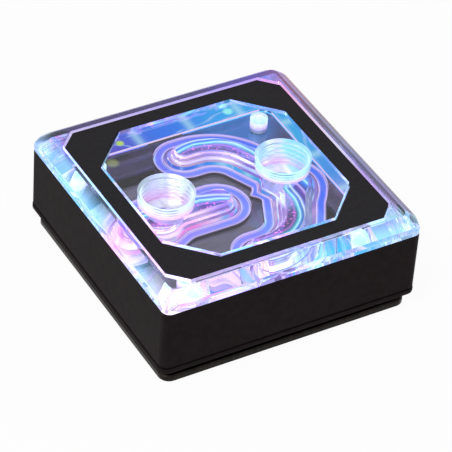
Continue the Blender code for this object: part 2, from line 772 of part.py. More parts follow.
def build_skirt(black):
    outer = rounded_square(BODY_HALF, BODY_CORNER)
    outer_break = rounded_square(BODY_HALF - SKIRT_EDGE_BREAK, BODY_CORNER - SKIRT_EDGE_BREAK)
    inner = rounded_square(SKIRT_INNER_HALF, SKIRT_INNER_CORNER)
    skirt = lofted(
        "skirt",
        [
            (outer_break, SKIRT_BOTTOM),
            (outer, SKIRT_BOTTOM + SKIRT_EDGE_BREAK),
            (outer, SKIRT_TOP),
            (inner, SKIRT_TOP),
            (inner, SKIRT_BOTTOM),
        ],
        black,
        hollow=True,
    )
    cut(skirt, socket_room("cut_skirt_socket", SKIRT_INNER_HALF - OVERCUT, BODY_HALF))
    smooth(skirt)
    return skirt


def build_foot_ring(black):
    half = BODY_HALF + FOOT_PROUD
    corner = BODY_CORNER + FOOT_PROUD
    outer = rounded_square(half, corner)
    upper = rounded_square(half - SKIRT_EDGE_BREAK, corner - SKIRT_EDGE_BREAK)
    inner = rounded_square(RING_INNER_HALF, RING_INNER_CORNER)
    rings = []
    for step in range(EDGE_STEPS + 1):
        angle = step / EDGE_STEPS * math.pi / 2
        inset = FOOT_ROUNDING * (1 - math.sin(angle))
        height = FOOT_BOTTOM + FOOT_ROUNDING * (1 - math.cos(angle))
        rings.append((rounded_square(half - inset, corner - inset), height))
    rings.append((outer, FOOT_TOP - SKIRT_EDGE_BREAK))
    rings.append((upper, FOOT_TOP))
    rings.append((inner, FOOT_TOP))
    rings.append((inner, FOOT_BOTTOM))
    ring = lofted("foot_ring", rings, black, hollow=True)
    places = square_places(SKIRT_SCREW_HALF)
    hole = SKIRT_SCREW_SHAFT / 2 + CLEARANCE
    below = FOOT_BOTTOM - OVERCUT
    cut(ring, cylinders("cut_foot_holes", places, hole, below, FOOT_TOP + OVERCUT))
    smooth(ring)
    return ring


def build_light_ring(board_green, led_white):
    outer = rounded_square(CLEAR_BODY_HALF, SKIRT_INNER_CORNER)
    inner = rounded_square(BOARD_INNER_HALF, RING_INNER_CORNER)
    board = lofted(
        "led_board",
        [(outer, BOARD_BOTTOM), (outer, BOARD_TOP), (inner, BOARD_TOP), (inner, BOARD_BOTTOM)],
        board_green,
        hollow=True,
    )
    places = square_places(SKIRT_SCREW_HALF)
    hole = SKIRT_SCREW_SHAFT / 2 + CLEARANCE
    below = BOARD_BOTTOM - OVERCUT
    cut(board, cylinders("cut_board_holes", places, hole, below, BOARD_TOP + OVERCUT))
    cut(board, socket_room("cut_board_socket", 0.0, BODY_HALF))
    led_mesh = led_shape()
    number = 0
    for quarter in range(4):
        turn = quarter * math.pi / 2
        for index in range(LEDS_PER_SIDE):
            number += 1
            along = (index - (LEDS_PER_SIDE - 1) / 2) * LED_PITCH
            led = add_object(f"led_{number:02d}", led_mesh, led_white)
            x = along * math.cos(turn) + LED_LINE * math.sin(turn)
            y = along * math.sin(turn) - LED_LINE * math.cos(turn)
            led.location = (x, y, LED_BOTTOM + LED_HEIGHT / 2)


def led_shape():
    """A small square lamp with a sunken window on top."""
    shape = bmesh.new()
    bmesh.ops.create_cube(shape, size=1.0)
    bmesh.ops.scale(shape, vec=(LED_SIDE, LED_SIDE, LED_HEIGHT), verts=shape.verts)
    top = max(shape.faces, key=lambda face: face.calc_center_median().z)
    bmesh.ops.inset_region(shape, faces=[top], thickness=LED_WINDOW_MARGIN)
    bmesh.ops.inset_region(shape, faces=[top], thickness=LED_WINDOW_DEPTH)
    bmesh.ops.translate(shape, vec=(0.0, 0.0, -LED_WINDOW_DEPTH), verts=top.verts)
    mesh = bpy.data.meshes.new("led")
    shape.to_mesh(mesh)
    shape.free()
    return mesh


def build_socket(black, gold):
    half = SOCKET_WIDTH / 2
    housing = box(
        "led_socket",
        (-half, SOCKET_INNER_Y, SOCKET_BOTTOM),
        (half, SOCKET_OUTER_Y, SOCKET_TOP),
        black,
    )
    cavity_start = SOCKET_INNER_Y + SOCKET_BACK_WALL
    cavity = box(
        "cut_socket_cavity",
        (-half + SOCKET_WALL, cavity_start, SOCKET_BOTTOM + SOCKET_WALL),
        (half - SOCKET_WALL, SOCKET_OUTER_Y + OVERCUT, SOCKET_TOP - SOCKET_WALL),
    )
    cut(housing, cavity)
    centre_z = (SOCKET_BOTTOM + SOCKET_TOP) / 2
    room = SOCKET_PIN_SIDE / 2 + CLEARANCE
    reach = SOCKET_PIN_SIDE / 2
    for number in range(1, SOCKET_PIN_COUNT + 1):
        x = (number - (SOCKET_PIN_COUNT + 1) / 2) * SOCKET_PIN_PITCH
        hole = box(
            f"cut_socket_pin_{number}",
            (x - room, SOCKET_INNER_Y - OVERCUT, centre_z - room),
            (x + room, cavity_start + OVERCUT, centre_z + room),
        )
        cut(housing, hole)
        box(
            f"socket_pin_{number}",
            (x - reach, SOCKET_INNER_Y, centre_z - reach),
            (x + reach, SOCKET_OUTER_Y - SOCKET_PIN_INSET, centre_z + reach),
            gold,
        )


def screw_profile(shaft, head, bottom, head_height, top):
    """A screw that points up: tip, shaft and a head with a broken lower edge."""
    return [
        (0.0, top),
        (shaft / 2 - SCREW_TIP_BREAK, top),
        (shaft / 2, top - SCREW_TIP_BREAK),
        (shaft / 2, bottom + head_height),
        (head / 2, bottom + head_height),
        (head / 2, bottom + SCREW_EDGE_BREAK),
        (head / 2 - SCREW_EDGE_BREAK, bottom),
        (0.0, bottom),
    ]


def build_screws(steel):
    plate_bottom = PLATE_SCREW_LIFT
    plate_profile = screw_profile(
        PLATE_SCREW_SHAFT,
        PLATE_SCREW_HEAD,
        plate_bottom,
        PLATE_SCREW_HEAD_HEIGHT,
        CLEAR_BOTTOM + PLATE_SCREW_REACH,
    )
    place_screws(
        "cold_plate_screw",
        plate_profile,
        PLATE_SCREW_HALF,
        PLATE_SCREW_SOCKET,
        plate_bottom + PLATE_SCREW_SOCKET_DEPTH,
        steel,
    )
    skirt_bottom = FOOT_BOTTOM - CLEARANCE - SKIRT_SCREW_HEAD_HEIGHT
    skirt_profile = screw_profile(
        SKIRT_SCREW_SHAFT,
        SKIRT_SCREW_HEAD,
        skirt_bottom,
        SKIRT_SCREW_HEAD_HEIGHT,
        RIM_BOTTOM + SKIRT_SCREW_REACH,
    )
    place_screws(
        "skirt_screw",
        skirt_profile,
        SKIRT_SCREW_HALF,
        SKIRT_SCREW_SOCKET,
        skirt_bottom + SKIRT_SCREW_SOCKET_DEPTH,
        steel,
    )


def place_screws(name, profile, half, key_width, key_top, steel):
    """Four like screws with a hexagon socket in the head."""
    pattern = turned(name + "_pattern", profile, SCREW_STEPS, steel)
    key_radius = key_width / 2 / math.cos(math.pi / HEXAGON_SIDES)
    below = profile[-1][1] - OVERCUT
    centre = [(0.0, 0.0)]
    key = cylinders(f"cut_{name}_key", centre, key_radius, below, key_top, HEXAGON_SIDES)
    cut(pattern, key)
    mesh = evaluated_mesh(pattern)
    mesh.name = name
    bpy.data.objects.remove(pattern, do_unlink=True)
    for number, (x, y) in enumerate(square_places(half), start=1):
        screw = add_object(f"{name}_{number}", mesh, steel)
        screw.location = (x, y, 0.0)
        smooth(screw)


def build_all():
    copper = make_material("plated_copper", (0.075, 0.068, 0.062), 0.35, metallic=1.0)
    nickel = make_material("nickel", (0.55, 0.53, 0.58), 0.12, metallic=1.0)
    acrylic = make_material("clear_acrylic", (0.80, 0.86, 1.0), 0.03, transmission=1.0)
    frame_black = make_material("frame_black", (0.024, 0.020, 0.024), 0.45)
    skirt_black = make_material("skirt_black", (0.028, 0.025, 0.026), 0.50)
    rubber = make_material("seal_rubber", (0.30, 0.30, 0.75), 0.60)
    board_green = make_material("board", (0.55, 0.55, 0.60), 0.55)
    led_white = make_material("led", (0.90, 0.95, 1.00), 0.30)
    socket_black = make_material("socket_black", (0.030, 0.030, 0.032), 0.50)
    gold = make_material("pin_gold", (0.83, 0.62, 0.25), 0.25, metallic=1.0)
    steel = make_material("screw_steel", (0.16, 0.16, 0.17), 0.35, metallic=1.0)
    build_cold_plate(copper)
    build_jet_plate(nickel)
    build_seals(rubber)
    build_clear_top(acrylic)
    build_trim_frame(frame_black)
    build_skirt(skirt_black)
    build_foot_ring(skirt_black)
    build_light_ring(board_green, led_white)
    build_socket(socket_black, gold)
    build_screws(steel)


clear_scene()
parts = new_collection(OBJECT_NAME)
cutters = new_collection("cutters")
origin = bpy.data.objects.new(OBJECT_NAME + "_origin", None)
parts.objects.link(origin)
build_all()
bpy.context.view_layer.update()
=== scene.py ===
"""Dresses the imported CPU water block: smooth clear top, seals, glow, finishes, floor and camera."""
import math

import bmesh
import bpy
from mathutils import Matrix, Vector


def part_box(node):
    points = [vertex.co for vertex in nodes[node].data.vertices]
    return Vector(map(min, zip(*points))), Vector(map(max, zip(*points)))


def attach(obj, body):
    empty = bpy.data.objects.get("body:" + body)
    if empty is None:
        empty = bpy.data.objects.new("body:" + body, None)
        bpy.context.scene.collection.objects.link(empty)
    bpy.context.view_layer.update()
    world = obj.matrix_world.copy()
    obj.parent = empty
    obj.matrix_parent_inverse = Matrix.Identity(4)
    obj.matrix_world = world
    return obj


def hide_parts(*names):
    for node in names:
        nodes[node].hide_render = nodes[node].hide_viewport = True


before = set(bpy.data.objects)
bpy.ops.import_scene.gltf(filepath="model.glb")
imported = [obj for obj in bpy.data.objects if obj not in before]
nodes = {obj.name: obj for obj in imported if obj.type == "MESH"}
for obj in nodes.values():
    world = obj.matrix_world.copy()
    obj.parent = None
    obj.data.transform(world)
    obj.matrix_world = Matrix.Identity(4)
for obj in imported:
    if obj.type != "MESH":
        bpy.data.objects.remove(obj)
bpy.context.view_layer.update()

MM = 0.001

# Heights and half sizes read from the parts in model.glb
top_low, top_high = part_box("acrylic_top")
_, plate_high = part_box("jet_plate")
trim_low, trim_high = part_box("trim_frame")
_, skirt_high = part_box("skirt")
_, led_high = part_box("led_01")
_, seal_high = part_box("inlet_oring")
CLEAR_BOTTOM = top_low.z
CLEAR_TOP = top_high.z
BODY_HALF = top_high.x
SEAT_HALF = plate_high.x
FRAME_HALF = trim_high.x
SEAL_TOP = seal_high.z

# Clear top, as in the solids
CLEARANCE = 0.3 * MM
SKIRT_WALL = 1.5 * MM
SEAM = 0.2 * MM
SEAT_CORNER = 3.0 * MM
BODY_CORNER = 0.5 * MM
EDGE_CORNER = 2.0 * MM
TOP_CORNER_CUT = 1.2 * MM
TOP_CORNER_RADIUS = 4.0 * MM
TOP_BEVEL_HEIGHT = 2.1 * MM
TOP_BEVEL_WIDTH = 2.6 * MM
TOP_FACE_CORNER = 1.8 * MM
EDGE_BREAK = 0.12 * MM
CLEAR_BODY_HALF = BODY_HALF - SKIRT_WALL - CLEARANCE
RIM_BOTTOM = led_high.z + CLEARANCE
SHOULDER_HEIGHT = skirt_high.z + SEAM
FRAME_CUT = 4.1 * MM
FRAME_BAND = 4.175 * MM
WINDOW_CUT = 9.4 * MM
WINDOW_HALF = FRAME_HALF - FRAME_BAND

# Ports with their pipe thread
PORT_X = 15.1 * MM
PORT_RIM_RADIUS = 6.6 * MM
PORT_RIM_DEPTH = 0.5 * MM
PORT_BORE_RADIUS = 5.725 * MM
PORT_DEPTH = 6.8 * MM
PORT_CONE_DEPTH = 1.4 * MM
PORT_DRILL_RADIUS = 4.3 * MM
THREAD_PITCH = 1.337 * MM
THREAD_DEPTH = 0.75 * MM
THREAD_RUNOUT = 0.7 * MM
THREAD_ROW = 0.11 * MM

# Channels: paths from arcs, groove and passes, and how many passes deep the ports' drillings end
CHAMBER_X = 16.7 * MM
CHAMBER_RADIUS = 9.6 * MM
INLET_END_X = -1.3 * MM
INLET_RADIUS = 7.5 * MM
INLET_TAPER = 5.8 * MM
ARM_Y = 18.3 * MM
ARM_RADIUS = 7.0 * MM
ARM_LENGTH = 9.1 * MM
ARM_LEAN = math.radians(28.0)
ARM_BEND_RADIUS = 11.5 * MM
CHAMBER_BEND_RADIUS = 12.5 * MM
CHAMBER_TAPER = 8.0 * MM
CHAMBER_PEAK_X = CHAMBER_X + CHAMBER_BEND_RADIUS * (1 / math.cos(ARM_LEAN) - 1)
ARM_CORNER_X = CHAMBER_PEAK_X - ARM_Y * math.tan(ARM_LEAN)
ARM_END_X = ARM_CORNER_X - ARM_LENGTH
GROOVE_WIDTH = 2.4 * MM
GROOVE_DEPTH = 1.6 * MM
PASS_INSET = 3.2 * MM
PASS_COUNT = 3
PASS_HEIGHT = 2.2 * MM
PASS_STEP = 0.8 * MM
PASS_CHAMFER = 0.15 * MM
DRILL_PASSES = PASS_COUNT - 1.5
# Pitch of the painted dark lines stacked up the channels' sides
DARK_LINE_PITCH = 1.1 * MM
SEAL_RADIUS_ACROSS = 1.15 * MM
SEAL_INSET = 0.05 * MM

# Screw holes and the room for the socket
PLATE_SCREW_HALF = 21.35 * MM
PLATE_HOLE_RADIUS = 2.1 * MM
PLATE_HOLE_DEPTH = 6.7 * MM
PLATE_HOLE_TOP = CLEAR_BOTTOM + PLATE_HOLE_DEPTH
PLATE_HOLE_TIP = 1.2 * MM
PLATE_HOLE_TIP_RADIUS = PLATE_HOLE_RADIUS / 20
SKIRT_SCREW_HALF = 28.9 * MM
SKIRT_HOLE_RADIUS = 1.2 * MM
SKIRT_HOLE_DEPTH = 3.9 * MM
SKIRT_HOLE_TOP = RIM_BOTTOM + SKIRT_HOLE_DEPTH
SOCKET_ROOM_HALF = 4.8 * MM
SOCKET_ROOM_TOP = 9.15 * MM

# Fineness
CORNER_STEPS = 12
ARC_STEPS = 14
CAP_STEPS = 28
SEAL_STEPS = 14
HOLE_STEPS = 32
PORT_STEPS = 96
OVERCUT = 1.0 * MM

# Limits of a normal's upward part, for faces that are upright, steep, sloping or level
UPRIGHT_LIMIT = 0.1
STEEP_LIMIT = 0.3
SLOPE_LIMIT = 0.99
LEVEL_LIMIT = 0.9999
SMOOTH_ANGLE = 30.0
SEAL_SMOOTH_ANGLE = 60.0

# The sides of a cut that may look different
MAIN_PART, WALL_PART, END_PART, FAR_PART = range(4)

# Clear acrylic, its texture, and the sockets of the node that mixes colours
ACRYLIC_IOR = 1.49
NOISE_ROUGHNESS = 0.55
MIX_SHARE = 0
MIX_FIRST = 6
MIX_SECOND = 7
MIX_RESULT = 2
BLACK = (0.0, 0.0, 0.0)
WHITE = (1.0, 1.0, 1.0)


def link(item):
    bpy.context.scene.collection.objects.link(item)
    return item


def rounded_square(half, radius):
    """Corner arcs of a square, counterclockwise."""
    centre = half - radius
    points = []
    for quarter in range(4):
        sign_x = 1 if quarter in (0, 3) else -1
        sign_y = 1 if quarter in (0, 1) else -1
        for step in range(CORNER_STEPS + 1):
            angle = (quarter + step / CORNER_STEPS) * math.pi / 2
            x = sign_x * centre + radius * math.cos(angle)
            y = sign_y * centre + radius * math.sin(angle)
            points.append((x, y))
    return points


def octagon(half, corner_cut):
    """A square with its corners cut, counterclockwise."""
    short = half - corner_cut
    quarter = [(half, short), (short, half)]
    points = []
    for _ in range(4):
        points.extend(quarter)
        quarter = [(-y, x) for x, y in quarter]
    return points


def circle(centre_x, centre_y, radius):
    points = []
    for step in range(HOLE_STEPS):
        angle = 2 * math.pi * step / HOLE_STEPS
        points.append((centre_x + radius * math.cos(angle), centre_y + radius * math.sin(angle)))
    return points


def eased(t):
    """From 0 to 1 with level ends."""
    t = min(max(t, 0.0), 1.0)
    return t * t * (3 - 2 * t)


def inlet_path():
    """Points of x, y, heading and half width from the jet slot to the left chamber."""
    points = []
    for step in range(ARC_STEPS + 1):
        x = INLET_END_X + (-CHAMBER_X - INLET_END_X) * step / ARC_STEPS
        grown = eased((x + CHAMBER_X - INLET_TAPER) / -INLET_TAPER)
        half = INLET_RADIUS + (CHAMBER_RADIUS - INLET_RADIUS) * grown
        points.append((x, 0.0, math.pi, half))
    return points


def outlet_path():
    """Points of x, y, heading and half width round the right chamber, on three arcs."""
    corners = [
        (ARM_END_X, -ARM_Y),
        (ARM_CORNER_X, -ARM_Y),
        (CHAMBER_PEAK_X, 0.0),
        (ARM_CORNER_X, ARM_Y),
        (ARM_END_X, ARM_Y),
    ]
    radii = [ARM_BEND_RADIUS, CHAMBER_BEND_RADIUS, ARM_BEND_RADIUS]
    spine = rounded_path(corners, radii)
    lengths = [0.0]
    for (x0, y0, _), (x1, y1, _) in zip(spine, spine[1:]):
        lengths.append(lengths[-1] + math.hypot(x1 - x0, y1 - y0))
    middle = lengths[-1] / 2
    points = []
    for (x, y, heading), length in zip(spine, lengths):
        narrowed = eased(abs(length - middle) / CHAMBER_TAPER)
        half = CHAMBER_RADIUS + (ARM_RADIUS - CHAMBER_RADIUS) * narrowed
        points.append((x, y, heading, half))
    return points


def rounded_path(corners, radii):
    """Points of x, y and heading along straight runs joined by arcs."""
    first, last = corners[0], corners[-1]
    points = [(*first, math.atan2(corners[1][1] - first[1], corners[1][0] - first[0]))]
    for before, corner, after, radius in zip(corners, corners[1:], corners[2:], radii):
        start = math.atan2(corner[1] - before[1], corner[0] - before[0])
        end = math.atan2(after[1] - corner[1], after[0] - corner[0])
        turn = (end - start + math.pi) % (2 * math.pi) - math.pi
        side = math.copysign(1.0, turn)
        run = radius * math.tan(abs(turn) / 2)
        centre_x = corner[0] - run * math.cos(start) - side * radius * math.sin(start)
        centre_y = corner[1] - run * math.sin(start) + side * radius * math.cos(start)
        for step in range(ARC_STEPS + 1):
            heading = start + turn * step / ARC_STEPS
            x = centre_x + side * radius * math.sin(heading)
            y = centre_y - side * radius * math.cos(heading)
            points.append((x, y, heading))
    end_heading = math.atan2(last[1] - corners[-2][1], last[0] - corners[-2][0])
    points.append((*last, end_heading))
    return points


INLET_PATH = inlet_path()
OUTLET_PATH = outlet_path()


def channel_outline(path, inset):
    """The outline of a channel round its path, drawn in by the inset, counterclockwise."""
    right_side = []
    left_side = []
    for x, y, heading, half in path:
        reach = half - inset
        right_side.append((x + reach * math.sin(heading), y - reach * math.cos(heading)))
        left_side.append((x - reach * math.sin(heading), y + reach * math.cos(heading)))
    far_cap = cap_points(path[-1], path[-1][2] - math.pi / 2, inset)
    near_cap = cap_points(path[0], path[0][2] + math.pi / 2, inset)
    return right_side + far_cap + left_side[::-1] + near_cap


def cap_points(end, start_angle, inset):
    """Half a circle round a path's end."""
    radius = end[3] - inset
    points = []
    for step in range(1, CAP_STEPS):
        angle = start_angle + math.pi * step / CAP_STEPS
        points.append((end[0] + radius * math.cos(angle), end[1] + radius * math.sin(angle)))
    return points


def skinned(name, loops, closed, finish, walls=None, end=None, far=None, far_count=0):
    """A mesh between loops of points; upright faces, end cap and far side may look different."""
    shape = bmesh.new()
    rings = [[shape.verts.new(point) for point in loop] for loop in loops]
    pairs = list(zip(rings, rings[1:]))
    if closed:
        pairs.append((rings[-1], rings[0]))
    else:
        shape.faces.new(rings[0][::-1])
        shape.faces.new(rings[-1]).material_index = END_PART
    count = len(rings[0])
    for lower, upper in pairs:
        for index in range(count):
            after = (index + 1) % count
            face = shape.faces.new((lower[index], lower[after], upper[after], upper[index]))
            if index < far_count:
                face.material_index = FAR_PART
    bmesh.ops.recalc_face_normals(shape, faces=shape.faces)
    for face in shape.faces:
        if abs(face.normal.z) < STEEP_LIMIT and face.material_index == MAIN_PART:
            face.material_index = WALL_PART
    parts = (finish, walls or finish, end or finish, far or finish)
    finishes = list(dict.fromkeys(parts))
    for face in shape.faces:
        face.material_index = finishes.index(parts[face.material_index])
    mesh = bpy.data.meshes.new(name)
    shape.to_mesh(mesh)
    shape.free()
    for used in finishes:
        mesh.materials.append(used)
    return link(bpy.data.objects.new(name, mesh))


def lofted(name, rings, finish, hollow=False, **others):
    """A solid between flat outlines given as (outline, height)."""
    loops = [[(x, y, height) for x, y in outline] for outline, height in rings]
    return skinned(name, loops, hollow, finish, **others)


def carve(piece, cutter):
    """Cuts the cutter out of the piece, keeps the cutter's finish on the cut, and deletes it."""
    modifier = piece.modifiers.new("cut " + cutter.name, "BOOLEAN")
    modifier.operation = "DIFFERENCE"
    modifier.solver = "EXACT"
    modifier.material_mode = "TRANSFER"
    modifier.object = cutter
    bpy.context.view_layer.update()
    evaluated = piece.evaluated_get(bpy.context.evaluated_depsgraph_get())
    mesh = bpy.data.meshes.new_from_object(evaluated)
    mesh.name = piece.data.name
    piece.modifiers.clear()
    piece.data = mesh
    bpy.data.objects.remove(cutter, do_unlink=True)


def soften(item, angle):
    """Smooth shading on the curved faces, with level faces left flat."""
    item.data.shade_smooth()
    item.data.set_sharp_from_angle(angle=math.radians(angle))
    for face in item.data.polygons:
        if abs(face.normal.z) > LEVEL_LIMIT:
            face.use_smooth = False


class Finish:
    """A material whose nodes are built by short calls."""

    def __init__(self, name):
        self.material = bpy.data.materials.new(name)
        self.material.use_nodes = True
        self.tree = self.material.node_tree
        self.shader = self.tree.nodes["Principled BSDF"]
        self.output = self.tree.nodes["Material Output"]

    def node(self, kind, **settings):
        made = self.tree.nodes.new(kind)
        for key, value in settings.items():
            setattr(made, key, value)
        return made

    def join(self, source, target):
        self.tree.links.new(source, target)

    def set(self, **values):
        """Sets the shader's own sockets, with underscores for the spaces in their names."""
        for key, value in values.items():
            self.shader.inputs[key.replace("_", " ")].default_value = value

    def paint(self, colour):
        """Sets the base colour, which is a plain colour or comes from a node."""
        if isinstance(colour, tuple):
            self.set(Base_Color=(*colour, 1.0))
        else:
            self.join(colour, self.shader.inputs["Base Color"])

    def acrylic(self, roughness, see_through=1.0, specular=0.0):
        self.set(Roughness=roughness, IOR=ACRYLIC_IOR)
        self.set(Transmission_Weight=see_through, Specular_IOR_Level=specular)

    def shine(self, colour, strength):
        self.join(colour, self.shader.inputs["Emission Color"])
        self.set(Emission_Strength=strength)

    def place(self):
        """The point's place in metres."""
        return self.node("ShaderNodeNewGeometry").outputs["Position"]

    def noise(self, scale, detail=4.0, stretch=(1.0, 1.0, 1.0), vector=None):
        """Soft noise over the point's place, or over another vector."""
        mapping = self.node("ShaderNodeMapping")
        mapping.inputs["Scale"].default_value = stretch
        self.join(vector or self.place(), mapping.inputs["Vector"])
        texture = self.node("ShaderNodeTexNoise")
        texture.inputs["Scale"].default_value = scale
        texture.inputs["Detail"].default_value = detail
        texture.inputs["Roughness"].default_value = NOISE_ROUGHNESS
        self.join(mapping.outputs["Vector"], texture.inputs["Vector"])
        return texture.outputs["Fac"]

    def ramp(self, factor, stops, smooth=True):
        """Colours along the factor, given as (position, colour)."""
        made = self.node("ShaderNodeValToRGB")
        made.color_ramp.interpolation = "EASE" if smooth else "LINEAR"
        elements = made.color_ramp.elements
        while len(elements) > 1:
            elements.remove(elements[-1])
        elements[0].position = stops[0][0]
        elements[0].color = (*stops[0][1], 1.0)
        for position, colour in stops[1:]:
            elements.new(position).color = (*colour, 1.0)
        self.join(factor, made.inputs["Fac"])
        return made.outputs["Color"]

    def mottle(self, scale, dark, light):
        """Paints a fine noise between two shades."""
        self.paint(self.ramp(self.noise(scale), [(0.3, dark), (0.7, light)]))

    def math(self, operation, first, second=0.0):
        made = self.node("ShaderNodeMath", operation=operation)
        for socket, value in zip(made.inputs, (first, second)):
            if isinstance(value, (int, float)):
                socket.default_value = value
            else:
                self.join(value, socket)
        return made.outputs["Value"]

    def between(self, value, low, high):
        """The value's place between low and high, from 0 to 1."""
        made = self.node("ShaderNodeMapRange")
        made.inputs["From Min"].default_value = low
        made.inputs["From Max"].default_value = high
        self.join(value, made.inputs["Value"])
        return made.outputs["Result"]

    def bump(self, height, strength, distance):
        made = self.node("ShaderNodeBump")
        made.inputs["Strength"].default_value = strength
        made.inputs["Distance"].default_value = distance
        self.join(height, made.inputs["Height"])
        self.join(made.outputs["Normal"], self.shader.inputs["Normal"])

    def axes(self, output="Position"):
        """The parts along X, Y and Z of the point's place in metres, or of its normal."""
        split = self.node("ShaderNodeSeparateXYZ")
        geometry = self.node("ShaderNodeNewGeometry")
        self.join(geometry.outputs[output], split.inputs["Vector"])
        return split.outputs

    def mix(self, share, first, second):
        """From the first colour at a share of 0 to the second at 1."""
        made = self.node("ShaderNodeMix", data_type="RGBA")
        for index, value in ((MIX_SHARE, share), (MIX_FIRST, first), (MIX_SECOND, second)):
            if isinstance(value, (int, float)):
                made.inputs[index].default_value = value
            elif isinstance(value, tuple):
                made.inputs[index].default_value = (*value, 1.0)
            else:
                self.join(value, made.inputs[index])
        return made.outputs[MIX_RESULT]

    def lines(self, value, pitch):
        """Soft lines a pitch apart, from 0 to 1."""
        wave = self.math("COSINE", self.math("MULTIPLY", value, 2 * math.pi / pitch))
        return self.between(wave, -1.0, 1.0)

    def distance(self, across, along, x, y):
        """How far a place, given by two values, is from x and y."""
        away = [self.math("SUBTRACT", across, x), self.math("SUBTRACT", along, y)]
        squares = [self.math("POWER", part, 2.0) for part in away]
        return self.math("SQRT", self.math("ADD", *squares))

    def spot(self, x, y, reach):
        """1 near an upright line, falling to 0 at the reach."""
        axes = self.axes()
        return self.between(self.distance(axes["X"], axes["Y"], x, y), reach, reach / 2)

    def spots(self, places, ground):
        """Spots of colour, given as (x, y, reach, colour), over a ground colour."""
        for x, y, reach, colour in places:
            ground = self.mix(self.spot(x, y, reach), ground, colour)
        return ground

    def from_middle(self):
        """How far the point is from the middle along X and along Y."""
        axes = self.axes()
        return [self.math("ABSOLUTE", axes[axis]) for axis in "XY"]

    def outward(self):
        """How far the point is from the middle, measured square to the nearest side."""
        return self.math("MAXIMUM", *self.from_middle())

    def along_side(self):
        """The place along the nearest side."""
        axes = self.axes()
        across, along = self.from_middle()
        return self.mix(self.math("GREATER_THAN", along, across), axes["Y"], axes["X"])

    def around(self):
        """The direction from the block's middle: 0 is left, 1/4 front, 1/2 right, 3/4 back."""
        axes = self.axes()
        angle = self.math("ARCTAN2", axes["Y"], axes["X"])
        return self.math("ADD", self.math("DIVIDE", angle, 2 * math.pi), 0.5)


# The colours of the light ring as it runs round the block
GLOW_ROUND = [
    (0.00, (0.30, 0.55, 1.00)),
    (0.05, (0.95, 0.20, 0.80)),
    (0.12, (0.90, 0.60, 1.00)),
    (0.19, (0.20, 0.45, 1.00)),
    (0.25, (0.65, 0.20, 1.00)),
    (0.31, (0.10, 0.60, 1.00)),
    (0.38, (0.40, 0.95, 1.00)),
    (0.44, (0.30, 0.35, 0.90)),
    (0.50, (0.03, 0.30, 0.85)),
    (0.58, (0.01, 0.42, 0.88)),
    (0.66, (0.00, 0.40, 0.95)),
    (0.75, (0.00, 0.17, 0.90)),
    (0.84, (0.09, 0.05, 0.60)),
    (0.90, (0.40, 0.75, 1.00)),
    (1.00, (0.30, 0.55, 1.00)),
]


def glowing(finish, strength):
    finish.shine(finish.ramp(finish.around(), GLOW_ROUND), strength)


# Painted light on the polished rim outside the frame, as a tint and as a glow, as they run round the
# block; the tint's dark stretch on the right and back is painted shade
RIM_GLOW_END = BODY_HALF - TOP_BEVEL_WIDTH / 4
FAR_MIDDLE = 0.625
FAR_SPAN = 0.24
RIM_PAINTED_LIGHT = [
    (0.00, (0.60, 0.85, 1.00)),
    (0.02, (0.90, 0.70, 0.95)),
    (0.04, (0.95, 0.35, 0.65)),
    (0.06, (0.95, 0.75, 0.95)),
    (0.09, (0.80, 0.88, 1.00)),
    (0.15, (0.90, 0.92, 1.00)),
    (0.30, (0.80, 0.92, 1.00)),
    (0.38, (0.75, 0.85, 1.00)),
    (0.39, (0.16, 0.12, 0.18)),
    (0.86, (0.12, 0.10, 0.20)),
    (0.87, (0.45, 0.45, 0.90)),
    (0.92, (0.60, 0.85, 1.00)),
]
RIM_GLOW = [
    (0.00, (0.15, 0.52, 0.70)),
    (0.02, (0.30, 0.30, 0.60)),
    (0.04, (0.60, 0.15, 0.45)),
    (0.06, (0.40, 0.35, 0.60)),
    (0.09, (0.16, 0.45, 0.70)),
    (0.125, (0.35, 0.25, 0.40)),
    (0.17, (0.08, 0.14, 0.35)),
    (0.23, (0.12, 0.08, 0.30)),
    (0.30, (0.03, 0.22, 0.40)),
    (0.37, (0.12, 0.32, 0.38)),
    (0.42, (0.06, 0.05, 0.10)),
    (0.84, (0.05, 0.04, 0.20)),
    (0.90, (0.15, 0.45, 0.70)),
    (1.00, (0.15, 0.52, 0.70)),
]
FAR_GLOW = [
    (0.38, (0.10, 0.08, 0.17)),
    (0.46, (0.085, 0.080, 0.16)),
    (0.50, (0.12, 0.11, 0.18)),
    (0.55, (0.11, 0.070, 0.11)),
    (0.61, (0.22, 0.080, 0.16)),
    (0.64, (0.08, 0.055, 0.34)),
    (0.70, (0.045, 0.035, 0.15)),
    (0.86, (0.040, 0.030, 0.11)),
]
# Painted glow on the upright wall outside the black frame, as it runs round the block
FRAME_EDGE_GLOW = [
    (0.00, (0.20, 0.50, 1.00)),
    (0.12, (0.70, 0.60, 1.00)),
    (0.25, (0.45, 0.55, 0.95)),
    (0.37, (0.60, 0.70, 1.00)),
    (0.42, (0.60, 0.42, 0.85)),
    (0.50, (0.90, 0.92, 1.00)),
    (0.56, (0.95, 0.75, 0.95)),
    (0.61, (0.95, 0.52, 0.85)),
    (0.66, (0.65, 0.55, 1.00)),
    (0.75, (0.68, 0.62, 1.00)),
    (0.86, (0.75, 0.70, 0.95)),
    (1.00, (0.20, 0.50, 1.00)),
]


